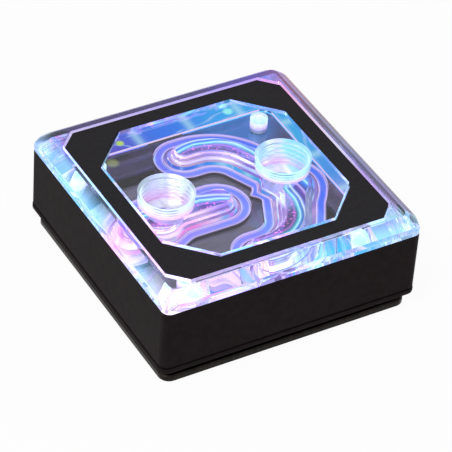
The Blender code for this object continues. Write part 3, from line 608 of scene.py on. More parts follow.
def clear_finish():
    """Polished; outside the frame the light of the ring of lights is painted on it as a tint and as a
    glow towards its edges.
    """
    finish = Finish("clear_acrylic_polished")
    finish.acrylic(roughness=0.0)
    around = finish.around()
    past_cut = finish.math("ADD", *finish.from_middle())
    past_cut = finish.math("SUBTRACT", past_cut, FRAME_HALF - FRAME_CUT)
    outward = finish.math("MAXIMUM", finish.outward(), past_cut)
    outside = finish.between(outward, FRAME_HALF, FRAME_HALF + CLEARANCE)
    # Painted light as a tint outside the frame, dark as painted shade on the right and back
    rim_painted_light = finish.ramp(around, RIM_PAINTED_LIGHT, smooth=False)
    finish.paint(finish.mix(outside, (0.95, 0.96, 1.0), rim_painted_light))

    # Painted glow of the lights on the rim, a dim one on the right and back
    upper = finish.math("GREATER_THAN", finish.axes()["Z"], SHOULDER_HEIGHT)
    rim = finish.between(finish.outward(), FRAME_HALF, RIM_GLOW_END)
    near_share = finish.math("MULTIPLY", finish.math("POWER", rim, 2.0), upper)
    near_glow = finish.mix(near_share, BLACK, finish.ramp(around, RIM_GLOW, smooth=False))
    from_far_side = finish.math("ABSOLUTE", finish.math("SUBTRACT", around, FAR_MIDDLE))
    far_side = finish.math("LESS_THAN", from_far_side, FAR_SPAN)
    far_share = finish.math("MULTIPLY", finish.math("MULTIPLY", far_side, outside), upper)
    far_glow = finish.ramp(around, FAR_GLOW, smooth=False)
    finish.shine(finish.mix(far_share, near_glow, far_glow), strength=1.0)
    return finish.material


def far_rim_finish():
    """The rim's right and back sides, painted a dim mauve and indigo for the lights there: a
    half-clear painted colour with a painted glow.
    """
    finish = Finish("clear_acrylic_far_rim")
    finish.paint((0.20, 0.15, 0.26))
    finish.acrylic(roughness=0.05, see_through=0.6)
    finish.shine(finish.ramp(finish.around(), FAR_GLOW, smooth=False), strength=1.0)
    return finish.material


LEFT_GLOW_START = -0.9 * SEAT_HALF


def side_finish():
    """The walls behind the skirt: a painted glow in noisy patches over wavy bumps, brighter on the
    left as painted light.
    """
    finish = Finish("clear_acrylic_side")
    finish.paint((0.85, 0.85, 1.0))
    finish.acrylic(roughness=0.04)
    # Painted glow in noisy patches, brighter on the left as painted light
    glow_noise = finish.noise(scale=260.0, detail=2.0)
    glow = finish.ramp(
        glow_noise,
        [
            (0.42, BLACK),
            (0.55, (0.22, 0.05, 0.25)),
            (0.62, (0.02, 0.12, 0.30)),
            (0.70, (0.40, 0.35, 0.48)),
        ],
    )
    left_glow = finish.ramp(
        glow_noise,
        [
            (0.38, (0.25, 0.28, 0.60)),
            (0.50, (0.35, 0.45, 0.85)),
            (0.58, (0.70, 0.30, 0.75)),
            (0.66, (0.45, 0.75, 0.95)),
        ],
    )
    left = finish.between(finish.axes()["X"], LEFT_GLOW_START, -SEAT_HALF)
    finish.shine(finish.mix(left, glow, left_glow), strength=1.0)
    waves = finish.noise(scale=320.0, detail=2.0, stretch=(1.0, 1.0, 2.0))
    finish.bump(waves, strength=0.6, distance=0.4 * MM)
    return finish.material


def seat_line_finish():
    """The upright edge of the seat, painted with a glow so that it shows as a thin bright line."""
    finish = Finish("clear_acrylic_seat_edge")
    finish.paint((0.2, 0.18, 0.25))
    finish.set(Roughness=0.4)
    tint = finish.ramp(
        finish.around(), [(0.0, (0.9, 0.5, 0.95)), (0.5, (0.85, 0.6, 1.0)), (0.8, (0.9, 0.7, 1.0))]
    )
    finish.shine(tint, strength=0.8)
    return finish.material


def milled_finish():
    finish = Finish("clear_acrylic_milled")
    finish.paint((0.90, 0.90, 1.0))
    finish.acrylic(roughness=0.06)
    glowing(finish, strength=0.06)
    return finish.material


# The channels' sides as (deep colour, bright colour, strength) of their painted glow, warm on the near
# side and cool on the far side, and the painted dark lines on them
NEAR_CUT_GLOW = ((0.30, 0.13, 0.80), (0.82, 0.55, 1.00), 0.5)
FAR_CUT_GLOW = ((0.08, 0.10, 0.55), (0.45, 0.60, 1.00), 0.45)
LINE_SHARPNESS = 6.0
PAINTED_DARK_LINE = (0.02, 0.01, 0.08)


def cut_finish(name, deep, bright, strength):
    """A channel's stepped side: a painted glow in noisy patches, crossed by painted dark lines stacked
    a pitch apart up the side.
    """
    finish = Finish(name)
    finish.acrylic(roughness=0.1)
    patches = finish.between(finish.noise(scale=110.0, detail=2.0), low=0.35, high=0.65)
    tint = finish.mix(patches, deep, bright)
    # Painted dark lines, in the base colour and across the painted glow
    thin = finish.math("POWER", finish.lines(finish.axes()["Z"], DARK_LINE_PITCH), LINE_SHARPNESS)
    finish.paint(finish.mix(thin, (0.80, 0.75, 1.0), (0.05, 0.03, 0.15)))
    finish.shine(finish.mix(thin, tint, PAINTED_DARK_LINE), strength)
    return finish.material


# The ceilings' painted glow, as colours across an arm, from its inner side out to the far side of the
# chamber
CEILING_START = -2.5 * MM
CEILING_END = 9.5 * MM
CEILING_WAVE = 2.5 * MM
INLET_SHIFT = 4.0 * MM
INLET_SHIFT_START = -6.0 * MM
INLET_SHIFT_END = INLET_END_X + INLET_RADIUS - PASS_INSET
CEILING_GLOW_BANDS = [
    (0.00, (0.30, 0.08, 0.45)),
    (0.06, (0.03, 0.01, 0.10)),
    (0.13, (0.05, 0.01, 0.15)),
    (0.165, (0.35, 0.10, 0.55)),
    (0.19, (0.01, 0.08, 0.22)),
    (0.23, (0.00, 0.40, 0.55)),
    (0.27, (0.45, 0.95, 1.00)),
    (0.30, (0.03, 0.25, 0.70)),
    (0.345, (0.01, 0.12, 0.50)),
    (0.38, (0.70, 0.88, 1.00)),
    (0.42, (0.15, 0.20, 0.80)),
    (0.45, (0.02, 0.02, 0.25)),
    (0.52, (0.12, 0.03, 0.40)),
    (0.56, (0.60, 0.45, 0.95)),
    (0.59, (0.00, 0.05, 0.35)),
    (0.67, (0.00, 0.14, 0.60)),
    (0.71, (0.40, 0.92, 1.00)),
    (0.75, (0.00, 0.22, 0.60)),
    (0.92, (0.02, 0.06, 0.42)),
]


def slot_finish():
    """The deepest ceilings, painted with glow: dark violet with bright painted glints inside, blue and
    cyan bands outside.
    """
    finish = Finish("clear_acrylic_slot")
    finish.paint((0.08, 0.08, 0.30))
    finish.acrylic(roughness=0.1)
    axes = finish.axes()
    sideways = finish.math("ABSOLUTE", axes["Y"])
    bend_x = ARM_CORNER_X - ARM_BEND_RADIUS * math.tan(math.pi / 4 - ARM_LEAN / 2)
    bend_y = ARM_Y - ARM_BEND_RADIUS
    from_bend = finish.distance(axes["X"], sideways, bend_x, bend_y)
    in_arm = finish.math("SUBTRACT", from_bend, ARM_BEND_RADIUS)
    shift = finish.between(axes["X"], INLET_SHIFT_START, INLET_SHIFT_END)
    in_inlet = finish.math("ADD", axes["Y"], finish.math("MULTIPLY", shift, INLET_SHIFT))
    is_inlet = finish.math(
        "MULTIPLY",
        finish.math("LESS_THAN", axes["X"], INLET_RADIUS),
        finish.math("LESS_THAN", sideways, INLET_RADIUS),
    )
    across = finish.mix(is_inlet, in_arm, in_inlet)
    waves = finish.math("SUBTRACT", finish.noise(scale=110.0, detail=1.0), 0.5)
    wobble = finish.math("MULTIPLY", waves, CEILING_WAVE)
    share = finish.between(finish.math("ADD", across, wobble), CEILING_START, CEILING_END)
    bands = finish.ramp(share, CEILING_GLOW_BANDS, smooth=False)
    # Painted magenta glints, only inside the slot
    painted_glints = finish.between(finish.noise(scale=1400.0, detail=1.0), low=0.62, high=0.68)
    inner = finish.between(across, low=0.5 * MM, high=-0.5 * MM)
    painted_glints = finish.math("MULTIPLY", painted_glints, inner)
    finish.shine(finish.mix(painted_glints, bands, (0.95, 0.15, 0.85)), strength=0.95)
    return finish.material


def groove_wall_finish():
    """The upright walls of the seals' grooves, near-black with painted light: a thin dark contour of
    painted shade with a pale painted glow above it.
    """
    finish = Finish("groove_wall_contour")
    height = finish.between(finish.axes()["Z"], CLEAR_BOTTOM, CLEAR_BOTTOM + GROOVE_DEPTH)
    tint = finish.ramp(
        height,
        [
            (0.25, (0.010, 0.008, 0.03)),
            (0.45, (0.015, 0.010, 0.05)),
            (0.60, (0.55, 0.42, 0.90)),
            (0.80, (0.75, 0.58, 0.92)),
            (0.95, (0.20, 0.20, 0.75)),
        ],
        smooth=False,
    )
    finish.paint((0.02, 0.015, 0.05))
    finish.set(Roughness=0.4)
    finish.shine(tint, strength=0.9)
    return finish.material


def land_finish():
    """The narrow lands between the grooves and the channels, half clear, with a painted blue to pink
    glow in noisy patches.
    """
    finish = Finish("clear_acrylic_land")
    finish.paint((0.15, 0.12, 0.30))
    finish.acrylic(roughness=0.15, see_through=0.6)
    tint = finish.ramp(
        finish.noise(scale=150.0, detail=1.0),
        [(0.35, (0.18, 0.20, 0.80)), (0.50, (0.45, 0.28, 0.85)), (0.65, (0.80, 0.50, 0.90))],
    )
    finish.shine(tint, strength=0.6)
    return finish.material


# The row of lamps under the rim, whose light is painted on as glow, and the brightest painted spots as
# (x, y, reach, colour)
LAMP_PITCH = 13.4 * MM
LAMP_SHARPNESS = 14.0
LAMP_SHARE = 0.5
UNDERGLOW_SPOTS = [
    (-11.2 * MM, 29.5 * MM, 1.2 * MM, (0.50, 0.75, 0.12)),
    (17.6 * MM, 29.5 * MM, 1.5 * MM, (0.30, 1.00, 1.00)),
    (-29.5 * MM, -8.0 * MM, 3.0 * MM, (1.00, 0.05, 0.35)),
]


def underglow_finish():
    """The frosted underside of the rim, on a near-black base, with the light of the row of lamps below
    it painted on as a glow: bright pools at the lamps, thin bright arcs and spots.
    """
    finish = Finish("clear_acrylic_frosted")
    finish.paint((0.005, 0.01, 0.03))
    finish.set(Roughness=0.5, Specular_IOR_Level=0.1)
    run = finish.along_side()
    # Painted pools of light, one at each lamp
    lamps = finish.lines(finish.math("ADD", run, LAMP_PITCH / 2), LAMP_PITCH)
    lamps = finish.math("MULTIPLY", finish.math("POWER", lamps, LAMP_SHARPNESS), LAMP_SHARE)
    glow = finish.mix(lamps, finish.ramp(finish.around(), GLOW_ROUND), (0.55, 0.95, 1.0))
    unrolled = finish.node("ShaderNodeCombineXYZ")
    finish.join(run, unrolled.inputs["X"])
    finish.join(finish.outward(), unrolled.inputs["Y"])
    unrolled = unrolled.outputs["Vector"]
    # Painted thin bright arcs of lamp light
    shapes = finish.noise(scale=75.0, detail=0.0, stretch=(0.6, 2.2, 1.0), vector=unrolled)
    arcs = finish.ramp(
        shapes, [(0.46, BLACK), (0.475, (0.7, 0.7, 0.7)), (0.485, BLACK)], smooth=False
    )
    tint = finish.spots(UNDERGLOW_SPOTS, finish.mix(arcs, glow, (0.40, 0.62, 1.0)))
    finish.shine(tint, strength=0.85)
    return finish.material


# Light at the bottom of the two ports
LEFT_WELL = (0.95, 1.00, 0.98)
RIGHT_WELL = (0.65, 1.00, 1.00)


def thread_finish():
    """The ports' walls, with a painted glow that is pink low down and pale blue or cyan above, over
    painted light at the bottom.
    """
    finish = Finish("clear_acrylic_threaded")
    finish.paint((0.90, 0.95, 1.0))
    finish.acrylic(roughness=0.3, see_through=0.85, specular=0.2)
    axes = finish.axes()
    deep_end = CLEAR_TOP - PORT_DEPTH - PORT_CONE_DEPTH
    height = finish.between(axes["Z"], deep_end, CLEAR_TOP)
    left = finish.ramp(
        height,
        [
            (0.0, (0.20, 0.20, 0.35)),
            (0.02, LEFT_WELL),
            (0.15, LEFT_WELL),
            (0.20, (1.00, 0.35, 0.80)),
            (0.40, (0.90, 0.55, 0.95)),
            (0.62, (0.70, 0.85, 1.00)),
            (1.0, (0.60, 0.92, 0.95)),
        ],
    )
    right = finish.ramp(
        height,
        [
            (0.0, (0.05, 0.15, 0.35)),
            (0.02, RIGHT_WELL),
            (0.15, RIGHT_WELL),
            (0.20, (0.95, 0.32, 0.80)),
            (0.38, (0.70, 0.65, 1.00)),
            (0.55, (0.30, 0.95, 1.00)),
            (1.0, (0.40, 0.95, 1.00)),
        ],
    )
    is_right = finish.math("GREATER_THAN", axes["X"], 0.0)
    finish.shine(finish.mix(is_right, left, right), strength=0.34)
    return finish.material


def pin_hole_finish():
    """The blind holes of the plate's screws, with a painted glow that is bright above and dark at
    their mouth.
    """
    finish = Finish("clear_acrylic_drilled")
    finish.paint((0.9, 0.95, 1.0))
    finish.acrylic(roughness=0.3, see_through=0.6, specular=0.2)
    height = finish.between(finish.axes()["Z"], CLEAR_BOTTOM, PLATE_HOLE_TOP + PLATE_HOLE_TIP)
    tint = finish.ramp(
        height,
        [
            (0.15, (0.02, 0.02, 0.12)),
            (0.35, (0.70, 0.50, 0.95)),
            (0.60, (0.95, 0.95, 1.00)),
            (0.85, (0.45, 0.90, 1.00)),
            (1.0, (0.85, 0.98, 1.00)),
        ],
    )
    finish.shine(tint, strength=0.75)
    return finish.material


def edge_finish():
    """The upright walls on both sides of the black frame, with a painted glow of the light ring, also
    in the outer wall's base colour.
    """
    finish = Finish("clear_acrylic_edge")
    finish.acrylic(roughness=0.1)
    around = finish.around()
    middle = WINDOW_HALF + FRAME_BAND / 2
    outer = finish.math("GREATER_THAN", finish.outward(), middle)
    inner_glow = finish.ramp(around, GLOW_ROUND)
    outer_glow = finish.ramp(around, FRAME_EDGE_GLOW)
    finish.paint(finish.mix(outer, (0.9, 0.96, 1.0), outer_glow))
    finish.shine(finish.mix(outer, inner_glow, outer_glow), strength=0.45)
    return finish.material


def clear_blank(finish):
    """The block before it is cut: seat, body behind the skirt, shoulder and bevelled top."""
    bevel_start = CLEAR_TOP - TOP_BEVEL_HEIGHT
    face_half = BODY_HALF - TOP_BEVEL_WIDTH
    seat = rounded_square(SEAT_HALF, SEAT_CORNER)
    body = rounded_square(CLEAR_BODY_HALF, BODY_CORNER)
    shoulder = rounded_square(BODY_HALF, EDGE_CORNER)
    rings = [
        (seat, CLEAR_BOTTOM),
        (seat, RIM_BOTTOM),
        (body, RIM_BOTTOM),
        (body, SHOULDER_HEIGHT),
        (shoulder, SHOULDER_HEIGHT),
        (shoulder, bevel_start - TOP_CORNER_CUT),
        (rounded_square(BODY_HALF, TOP_CORNER_RADIUS), bevel_start),
        (rounded_square(face_half + EDGE_BREAK, TOP_FACE_CORNER), CLEAR_TOP - EDGE_BREAK),
        (rounded_square(face_half - EDGE_BREAK, TOP_FACE_CORNER), CLEAR_TOP),
    ]
    return lofted("clear_top", rings, finish)


def build_clear_top():
    clear = clear_finish()
    threaded = thread_finish()
    drilled = pin_hole_finish()
    underglow = underglow_finish()
    block = clear_blank(clear)
    floor = trim_low.z - CLEARANCE
    above = CLEAR_TOP + OVERCUT
    outer = octagon(FRAME_HALF + CLEARANCE, FRAME_CUT)
    inner = octagon(WINDOW_HALF - CLEARANCE, WINDOW_CUT)
    pocket = [(outer, floor), (outer, above), (inner, above), (inner, floor)]
    carve(block, lofted("cut_pocket", pocket, clear, hollow=True, walls=edge_finish()))
    cut_channels(block)
    for name, x in (("left", -PORT_X), ("right", PORT_X)):
        carve(block, port_cutter("cut_port_" + name, x, threaded))
    for x, y in corners_of(PLATE_SCREW_HALF):
        wall = circle(x, y, PLATE_HOLE_RADIUS)
        tip = circle(x, y, PLATE_HOLE_TIP_RADIUS)
        hole = [(wall, CLEAR_BOTTOM - OVERCUT), (wall, PLATE_HOLE_TOP)]
        hole.append((tip, PLATE_HOLE_TOP + PLATE_HOLE_TIP))
        carve(block, lofted("cut_plate_hole", hole, drilled))
    for x, y in corners_of(SKIRT_SCREW_HALF):
        wall = circle(x, y, SKIRT_HOLE_RADIUS)
        hole = [(wall, RIM_BOTTOM - OVERCUT), (wall, SKIRT_HOLE_TOP)]
        carve(block, lofted("cut_skirt_hole", hole, threaded))
    room = [
        (-SOCKET_ROOM_HALF, SEAT_HALF + CLEARANCE),
        (SOCKET_ROOM_HALF, SEAT_HALF + CLEARANCE),
        (SOCKET_ROOM_HALF, BODY_HALF + OVERCUT),
        (-SOCKET_ROOM_HALF, BODY_HALF + OVERCUT),
    ]
    carve(block, lofted("cut_socket", [(room, 0.0), (room, SOCKET_ROOM_TOP)], underglow))
    finishes = {
        "over the lamps": underglow,
        "behind the skirt": side_finish(),
        "round the seat": seat_line_finish(),
        "on the far rim": far_rim_finish(),
        "on the lands": land_finish(),
    }
    dress_faces(block.data, finishes)
    soften(block, SMOOTH_ANGLE)
    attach(block, "root")
    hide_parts("acrylic_top")


def corners_of(half):
    return [(half, half), (-half, half), (-half, -half), (half, -half)]


def inside_grooves(x, y):
    """Whether the point lies inside the inner walls of a seal's groove."""
    for path in (INLET_PATH, OUTLET_PATH):
        for path_x, path_y, _, half in path:
            if math.hypot(x - path_x, y - path_y) < half - GROOVE_WIDTH + EDGE_BREAK:
                return True
    return False


def region_of(face, mesh):
    """The region of the clear top that a face lies in, or None where it keeps its finish."""
    x, y, height = face.center
    outward = max(abs(x), abs(y))
    upright = abs(face.normal.z) < UPRIGHT_LIMIT
    if abs(height - RIM_BOTTOM) < EDGE_BREAK:
        return "over the lamps"
    if upright and height > RIM_BOTTOM and abs(outward - CLEAR_BODY_HALF) < EDGE_BREAK:
        return "behind the skirt"
    if upright and height < RIM_BOTTOM and abs(outward - SEAT_HALF) < EDGE_BREAK:
        return "round the seat"
    if height > SHOULDER_HEIGHT + EDGE_BREAK and abs(face.normal.z) < SLOPE_LIMIT:
        right = x > FRAME_HALF + CLEARANCE and y > -FRAME_HALF
        back = y > FRAME_HALF + CLEARANCE and x > -FRAME_HALF
        return "on the far rim" if right or back else None
    if abs(height - CLEAR_BOTTOM) < EDGE_BREAK and not upright:
        corners = [mesh.vertices[index].co for index in face.vertices]
        if all(inside_grooves(corner.x, corner.y) for corner in corners):
            return "on the lands"
    return None


def dress_faces(mesh, finishes):
    """Gives the faces of each region their finish."""
    places = {}
    for region, finish in finishes.items():
        places[region] = len(mesh.materials)
        mesh.materials.append(finish)
    for face in mesh.polygons:
        region = region_of(face, mesh)
        if region:
            face.material_index = places[region]


def cut_channels(block):
    """The seals' grooves, then the passes, each with a small chamfer at its ceiling."""
    milled = milled_finish()
    near = cut_finish("clear_acrylic_cut_near", *NEAR_CUT_GLOW)
    far = cut_finish("clear_acrylic_cut_far", *FAR_CUT_GLOW)
    slot = slot_finish()
    groove_wall = groove_wall_finish()
    floor = CLEAR_BOTTOM - OVERCUT
    groove_top = CLEAR_BOTTOM + GROOVE_DEPTH
    for path in (INLET_PATH, OUTLET_PATH):
        outer = channel_outline(path, 0.0)
        inner = channel_outline(path, GROOVE_WIDTH)
        groove = [(outer, floor), (outer, groove_top), (inner, groove_top), (inner, floor)]
        carve(block, lofted("cut_groove", groove, milled, hollow=True, walls=groove_wall))
        passes = []
        lower = floor
        for step in range(PASS_COUNT):
            inset = PASS_INSET + step * PASS_STEP
            upper = CLEAR_BOTTOM + (step + 1) * PASS_HEIGHT
            outline = channel_outline(path, inset)
            passes.append((outline, lower))
            passes.append((outline, upper - PASS_CHAMFER))
            passes.append((channel_outline(path, inset + PASS_CHAMFER), upper))
            lower = upper
        cutter = lofted("cut_passes", passes, near, end=slot, far=far, far_count=len(path))
        carve(block, cutter)


def port_cutter(name, x, threaded):
    """Chamfered rim, a real helical thread, cone and drilling as one closed cutter."""
    thread_top = CLEAR_TOP - PORT_RIM_DEPTH
    thread_bottom = CLEAR_TOP - PORT_DEPTH
    rows = [(CLEAR_TOP + OVERCUT, PORT_RIM_RADIUS, 0.0), (CLEAR_TOP, PORT_RIM_RADIUS, 0.0)]
    count = round((thread_top - thread_bottom) / THREAD_ROW)
    for row in range(count + 1):
        height = thread_top + (thread_bottom - thread_top) * row / count
        from_end = min(thread_top - height, height - thread_bottom)
        rows.append((height, PORT_BORE_RADIUS, eased(from_end / THREAD_RUNOUT)))
    rows.append((thread_bottom - PORT_CONE_DEPTH, PORT_DRILL_RADIUS, 0.0))
    rows.append((CLEAR_BOTTOM + DRILL_PASSES * PASS_HEIGHT, PORT_DRILL_RADIUS, 0.0))
    loops = []
    for height, radius, thread in rows:
        loop = []
        for step in range(PORT_STEPS):
            angle = 2 * math.pi * step / PORT_STEPS
            turn = height / THREAD_PITCH + angle / (2 * math.pi)
            tooth = (0.5 - 0.5 * math.cos(2 * math.pi * turn)) * thread
            reach = radius + THREAD_DEPTH * tooth
            loop.append((x + reach * math.cos(angle), reach * math.sin(angle), height))
        loops.append(loop)
    return skinned(name, loops, False, threaded)


def build_seal(name, node, path, finish):
    """A round cord in its groove, following the channel's outline."""
    rings = []
    height = (SEAL_TOP - CLEAR_BOTTOM) / 2
    for step in range(SEAL_STEPS):
        angle = 2 * math.pi * step / SEAL_STEPS
        inset = SEAL_INSET + SEAL_RADIUS_ACROSS * (1 - math.cos(angle))
        rings.append((channel_outline(path, inset), CLEAR_BOTTOM + height * (1 + math.sin(angle))))
    seal = lofted(name, rings, finish, hollow=True)
    soften(seal, SEAL_SMOOTH_ANGLE)
    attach(seal, "root")
    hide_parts(node)


# The seals' painted light by the upward part of the normal: blue glow in the core, pale painted
# highlights at the edges, a painted dark line of shade
SEAL_TINT_HALF = 25.0 * MM
SEAL_CORE_LIMIT = 0.97
SEAL_PALE_LIMIT = 0.74
SEAL_PALE_END = 0.45
SEAL_DARK_START = 0.30
SEAL_SHADING = 0.7


def seal_finish():
    """Silicone painted with light: a blue glow in the core between pale painted highlights at the
    edges, with a painted dark line of shade beside them.
    """
    finish = Finish("seal_glowing_silicone")
    finish.set(Roughness=0.45, Specular_IOR_Level=0.2)
    across = finish.between(finish.axes()["X"], -SEAL_TINT_HALF, SEAL_TINT_HALF)
    core = finish.ramp(
        across,
        [
            (0.0, (0.22, 0.20, 0.90)),
            (0.45, (0.15, 0.18, 0.90)),
            (0.75, (0.05, 0.13, 0.92)),
            (1.0, (0.02, 0.14, 0.90)),
        ],
    )
    pale = finish.ramp(
        finish.noise(scale=120.0, detail=1.0),
        [(0.35, (0.95, 0.62, 0.92)), (0.5, (0.75, 0.60, 1.00)), (0.65, (0.45, 0.80, 1.00))],
    )
    upward = finish.axes("Normal")["Z"]
    at_edge = finish.between(upward, SEAL_CORE_LIMIT, SEAL_PALE_LIMIT)
    beside = finish.between(upward, SEAL_PALE_END, SEAL_DARK_START)
    # Painted dark line of shade beside the pale painted highlights
    tint = finish.mix(beside, finish.mix(at_edge, core, pale), PAINTED_DARK_LINE)
    finish.paint(finish.mix(SEAL_SHADING, tint, (0.02, 0.02, 0.05)))
    finish.shine(tint, strength=0.75)
    return finish.material


def frame_finish():
    finish = Finish("trim_black_anodised")
    finish.mottle(scale=900.0, dark=(0.012, 0.011, 0.013), light=(0.017, 0.015, 0.018))
    finish.set(Roughness=0.62, Specular_IOR_Level=0.12)
    finish.bump(finish.noise(scale=9000.0), strength=0.05, distance=0.05 * MM)
    return finish.material


def skirt_finish():
    finish = Finish("skirt_black_powder")
    finish.mottle(scale=600.0, dark=(0.0100, 0.0070, 0.0076), light=(0.0150, 0.0110, 0.0118))
    finish.set(Roughness=0.60, Specular_IOR_Level=0.05)
    finish.bump(finish.noise(scale=7000.0), strength=0.10, distance=0.06 * MM)
    return finish.material


# Painted light on the jet plate as (x, y, reach, colour), and a blue corner of painted light past a
# slanting line
PLATE_SPOTS = [
    (17.0 * MM, 25.0 * MM, 13.0 * MM, (0.00, 0.13, 0.42)),
    (27.0 * MM, 8.0 * MM, 9.0 * MM, (0.00, 0.06, 0.24)),
    (-15.6 * MM, 24.6 * MM, 1.8 * MM, (0.16, 0.20, 0.01)),
    (-PORT_X, 0.0, PORT_DRILL_RADIUS + CLEARANCE, LEFT_WELL),
    (PORT_X, 0.0, PORT_DRILL_RADIUS + CLEARANCE, RIGHT_WELL),
]
CORNER_SLANT = 0.5
CORNER_START = 8.0 * MM
CORNER_END = 32.0 * MM


def jet_plate_finish():
    finish = Finish("jet_plate_nickel")
    # Base colour: brushed tone that differs at random, in a violet cast that is painted light of the
    # lamps
    tint = finish.ramp(
        finish.noise(scale=160.0, stretch=(1.0, 9.0, 1.0)),
        [(0.30, (0.045, 0.036, 0.075)), (0.50, (0.09, 0.08, 0.15)), (0.70, (0.15, 0.12, 0.28))],
    )
    axes = finish.axes()
    corner = finish.math("ADD", axes["Y"], finish.math("MULTIPLY", axes["X"], CORNER_SLANT))
    corner = finish.between(corner, CORNER_START, CORNER_END)
    # The blue corner at the back right is painted light
    finish.paint(finish.mix(corner, tint, (0.008, 0.035, 0.10)))
    finish.shine(finish.spots(PLATE_SPOTS, BLACK), strength=1.0)
    finish.set(Metallic=1.0, Roughness=0.12)
    brushing = finish.noise(scale=2500.0, stretch=(1.0, 14.0, 1.0))
    finish.bump(brushing, strength=0.04, distance=0.05 * MM)
    return finish.material


def base_plate_finish():
    finish = Finish("cold_plate_plated")
    tint = finish.ramp(
        finish.noise(scale=300.0, stretch=(6.0, 1.0, 1.0)),
        [(0.25, (0.012, 0.010, 0.009)), (0.75, (0.022, 0.019, 0.017))],
    )
    finish.paint(tint)
    finish.set(Metallic=1.0, Roughness=0.38)
    milling = finish.noise(scale=5000.0, stretch=(8.0, 1.0, 1.0))
    finish.bump(milling, strength=0.06, distance=0.04 * MM)
    return finish.material


def board_finish():
    finish = Finish("light_board")
    finish.mottle(scale=1500.0, dark=(0.45, 0.47, 0.55), light=(0.62, 0.64, 0.72))
    finish.set(Roughness=0.5)
    glowing(finish, strength=1.3)
    return finish.material


def lamp_finish():
    finish = Finish("light_lamp")
    finish.mottle(scale=1500.0, dark=(0.85, 0.9, 1.0), light=(0.95, 0.97, 1.0))
    finish.set(Roughness=0.3)
    glowing(finish, strength=3.0)
    return finish.material


def metal_finish(name, dark, light, roughness):
    finish = Finish(name)
    finish.mottle(1200.0, dark, light)
    finish.set(Metallic=1.0, Roughness=roughness)
    finish.bump(finish.noise(scale=6000.0), strength=0.05, distance=0.04 * MM)
    return finish.material


def plastic_finish(name, dark, light, roughness):
    finish = Finish(name)
    finish.mottle(900.0, dark, light)
    finish.set(Roughness=roughness)
    finish.bump(finish.noise(scale=7000.0), strength=0.06, distance=0.05 * MM)
    return finish.material


def dress_nodes():
    """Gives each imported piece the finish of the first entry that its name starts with."""
    steel = metal_finish("screw_steel_black", (0.12, 0.12, 0.13), (0.18, 0.18, 0.19), roughness=0.35)
    gold = metal_finish("pin_gold", (0.75, 0.55, 0.20), (0.88, 0.66, 0.28), roughness=0.22)
    rubber = plastic_finish("plate_seal_rubber", (0.02, 0.02, 0.02), (0.03, 0.03, 0.03), roughness=0.6)
    socket = plastic_finish("socket_black", (0.018, 0.018, 0.02), (0.03, 0.03, 0.032), roughness=0.5)
    lamp = lamp_finish()
    skirt = skirt_finish()
    finishes = {
        "cold_plate_screw": steel,
        "skirt_screw": steel,
        "cold_plate": base_plate_finish(),
        "socket_pin": gold,
        "plate_oring": rubber,
        "led_socket": socket,
        "led_board": board_finish(),
        "led_": lamp,
        "skirt": skirt,
        "foot_ring": skirt,
        "trim_frame": frame_finish(),
        "jet_plate": jet_plate_finish(),
    }
    for name, node in nodes.items():
        for start, finish in finishes.items():
            if name.startswith(start):
                node.data.materials.clear()
                node.data.materials.append(finish)
                break


# Stage
FLOOR_HALF = 1.5
FLOOR_SHADE = 0.93
SHADOW_SHARE = 0.05
AMBIENT = 0.38
KEY_POWER = 3.6
KEY_SIZE = 0.5
KEY_PLACE = (-0.47, -0.19, 0.70)

# Camera, from the frame's and the base's corners in the photograph
CAMERA_PLACE = (-0.25688, -0.41316, 0.41322)
CAMERA_TURN = (50.311, -3.359, -29.203)
SENSOR_WIDTH = 36.0
LENS = 219.5
CLIP_START = 10.0 * MM


def seen_directly(tree):
    """1 for rays from the camera, and for those mirrored or passed on by clear pieces."""
    light_path = tree.nodes.new("ShaderNodeLightPath")
    total = light_path.outputs["Is Camera Ray"]
    for name in ("Is Glossy Ray", "Is Transmission Ray"):
        larger = tree.nodes.new("ShaderNodeMath")
        larger.operation = "MAXIMUM"
        tree.links.new(total, larger.inputs[0])
        tree.links.new(light_path.outputs[name], larger.inputs[1])
        total = larger.outputs["Value"]
    return total


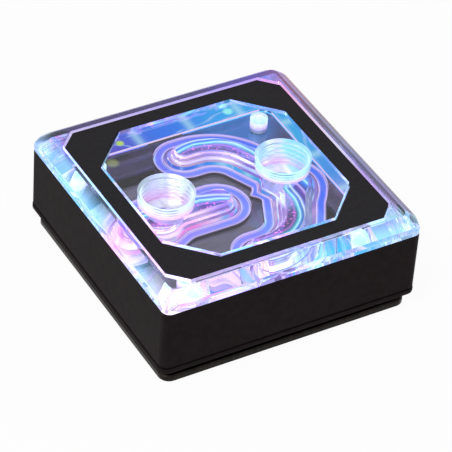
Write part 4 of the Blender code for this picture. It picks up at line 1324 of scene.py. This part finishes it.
def build_stage():
    shape = bmesh.new()
    bmesh.ops.create_grid(shape, x_segments=1, y_segments=1, size=FLOOR_HALF)
    mesh = bpy.data.meshes.new("floor")
    shape.to_mesh(mesh)
    shape.free()
    floor = link(bpy.data.objects.new("floor", mesh))
    finish = Finish("floor_white")
    finish.paint((FLOOR_SHADE, FLOOR_SHADE, FLOOR_SHADE))
    finish.set(Roughness=0.9)
    white = finish.node("ShaderNodeEmission")
    white.inputs["Strength"].default_value = 1.0
    mix = finish.node("ShaderNodeMixShader")
    share = finish.math("MULTIPLY", seen_directly(finish.tree), 1 - SHADOW_SHARE)
    finish.join(share, mix.inputs["Fac"])
    finish.join(finish.shader.outputs["BSDF"], mix.inputs[1])
    finish.join(white.outputs["Emission"], mix.inputs[2])
    finish.join(mix.outputs["Shader"], finish.output.inputs["Surface"])
    mesh.materials.append(finish.material)


def build_light():
    world = bpy.data.worlds.new("studio")
    bpy.context.scene.world = world
    world.use_nodes = True
    tree = world.node_tree
    background = tree.nodes["Background"]
    background.inputs["Color"].default_value = (*WHITE, 1.0)
    strength = tree.nodes.new("ShaderNodeMapRange")
    strength.inputs["To Min"].default_value = AMBIENT
    strength.inputs["To Max"].default_value = 1.0
    tree.links.new(seen_directly(tree), strength.inputs["Value"])
    tree.links.new(strength.outputs["Result"], background.inputs["Strength"])
    lamp = bpy.data.lights.new("key", "AREA")
    lamp.energy = KEY_POWER
    lamp.size = KEY_SIZE
    key = link(bpy.data.objects.new("key", lamp))
    key.location = KEY_PLACE
    key.rotation_euler = (-Vector(KEY_PLACE)).to_track_quat("-Z", "Y").to_euler()


def build_camera():
    data = bpy.data.cameras.new("camera")
    data.sensor_width = SENSOR_WIDTH
    data.lens = LENS
    data.clip_start = CLIP_START
    camera = link(bpy.data.objects.new("camera", data))
    camera.location = CAMERA_PLACE
    camera.rotation_euler = [math.radians(turn) for turn in CAMERA_TURN]
    bpy.context.scene.camera = camera


dress_nodes()
build_clear_top()
silicone = seal_finish()
build_seal("inlet_seal_cord", "inlet_oring", INLET_PATH, silicone)
build_seal("outlet_seal_cord", "outlet_oring", OUTLET_PATH, silicone)
build_stage()
build_light()
build_camera()
bpy.context.scene.view_settings.view_transform = "Standard"
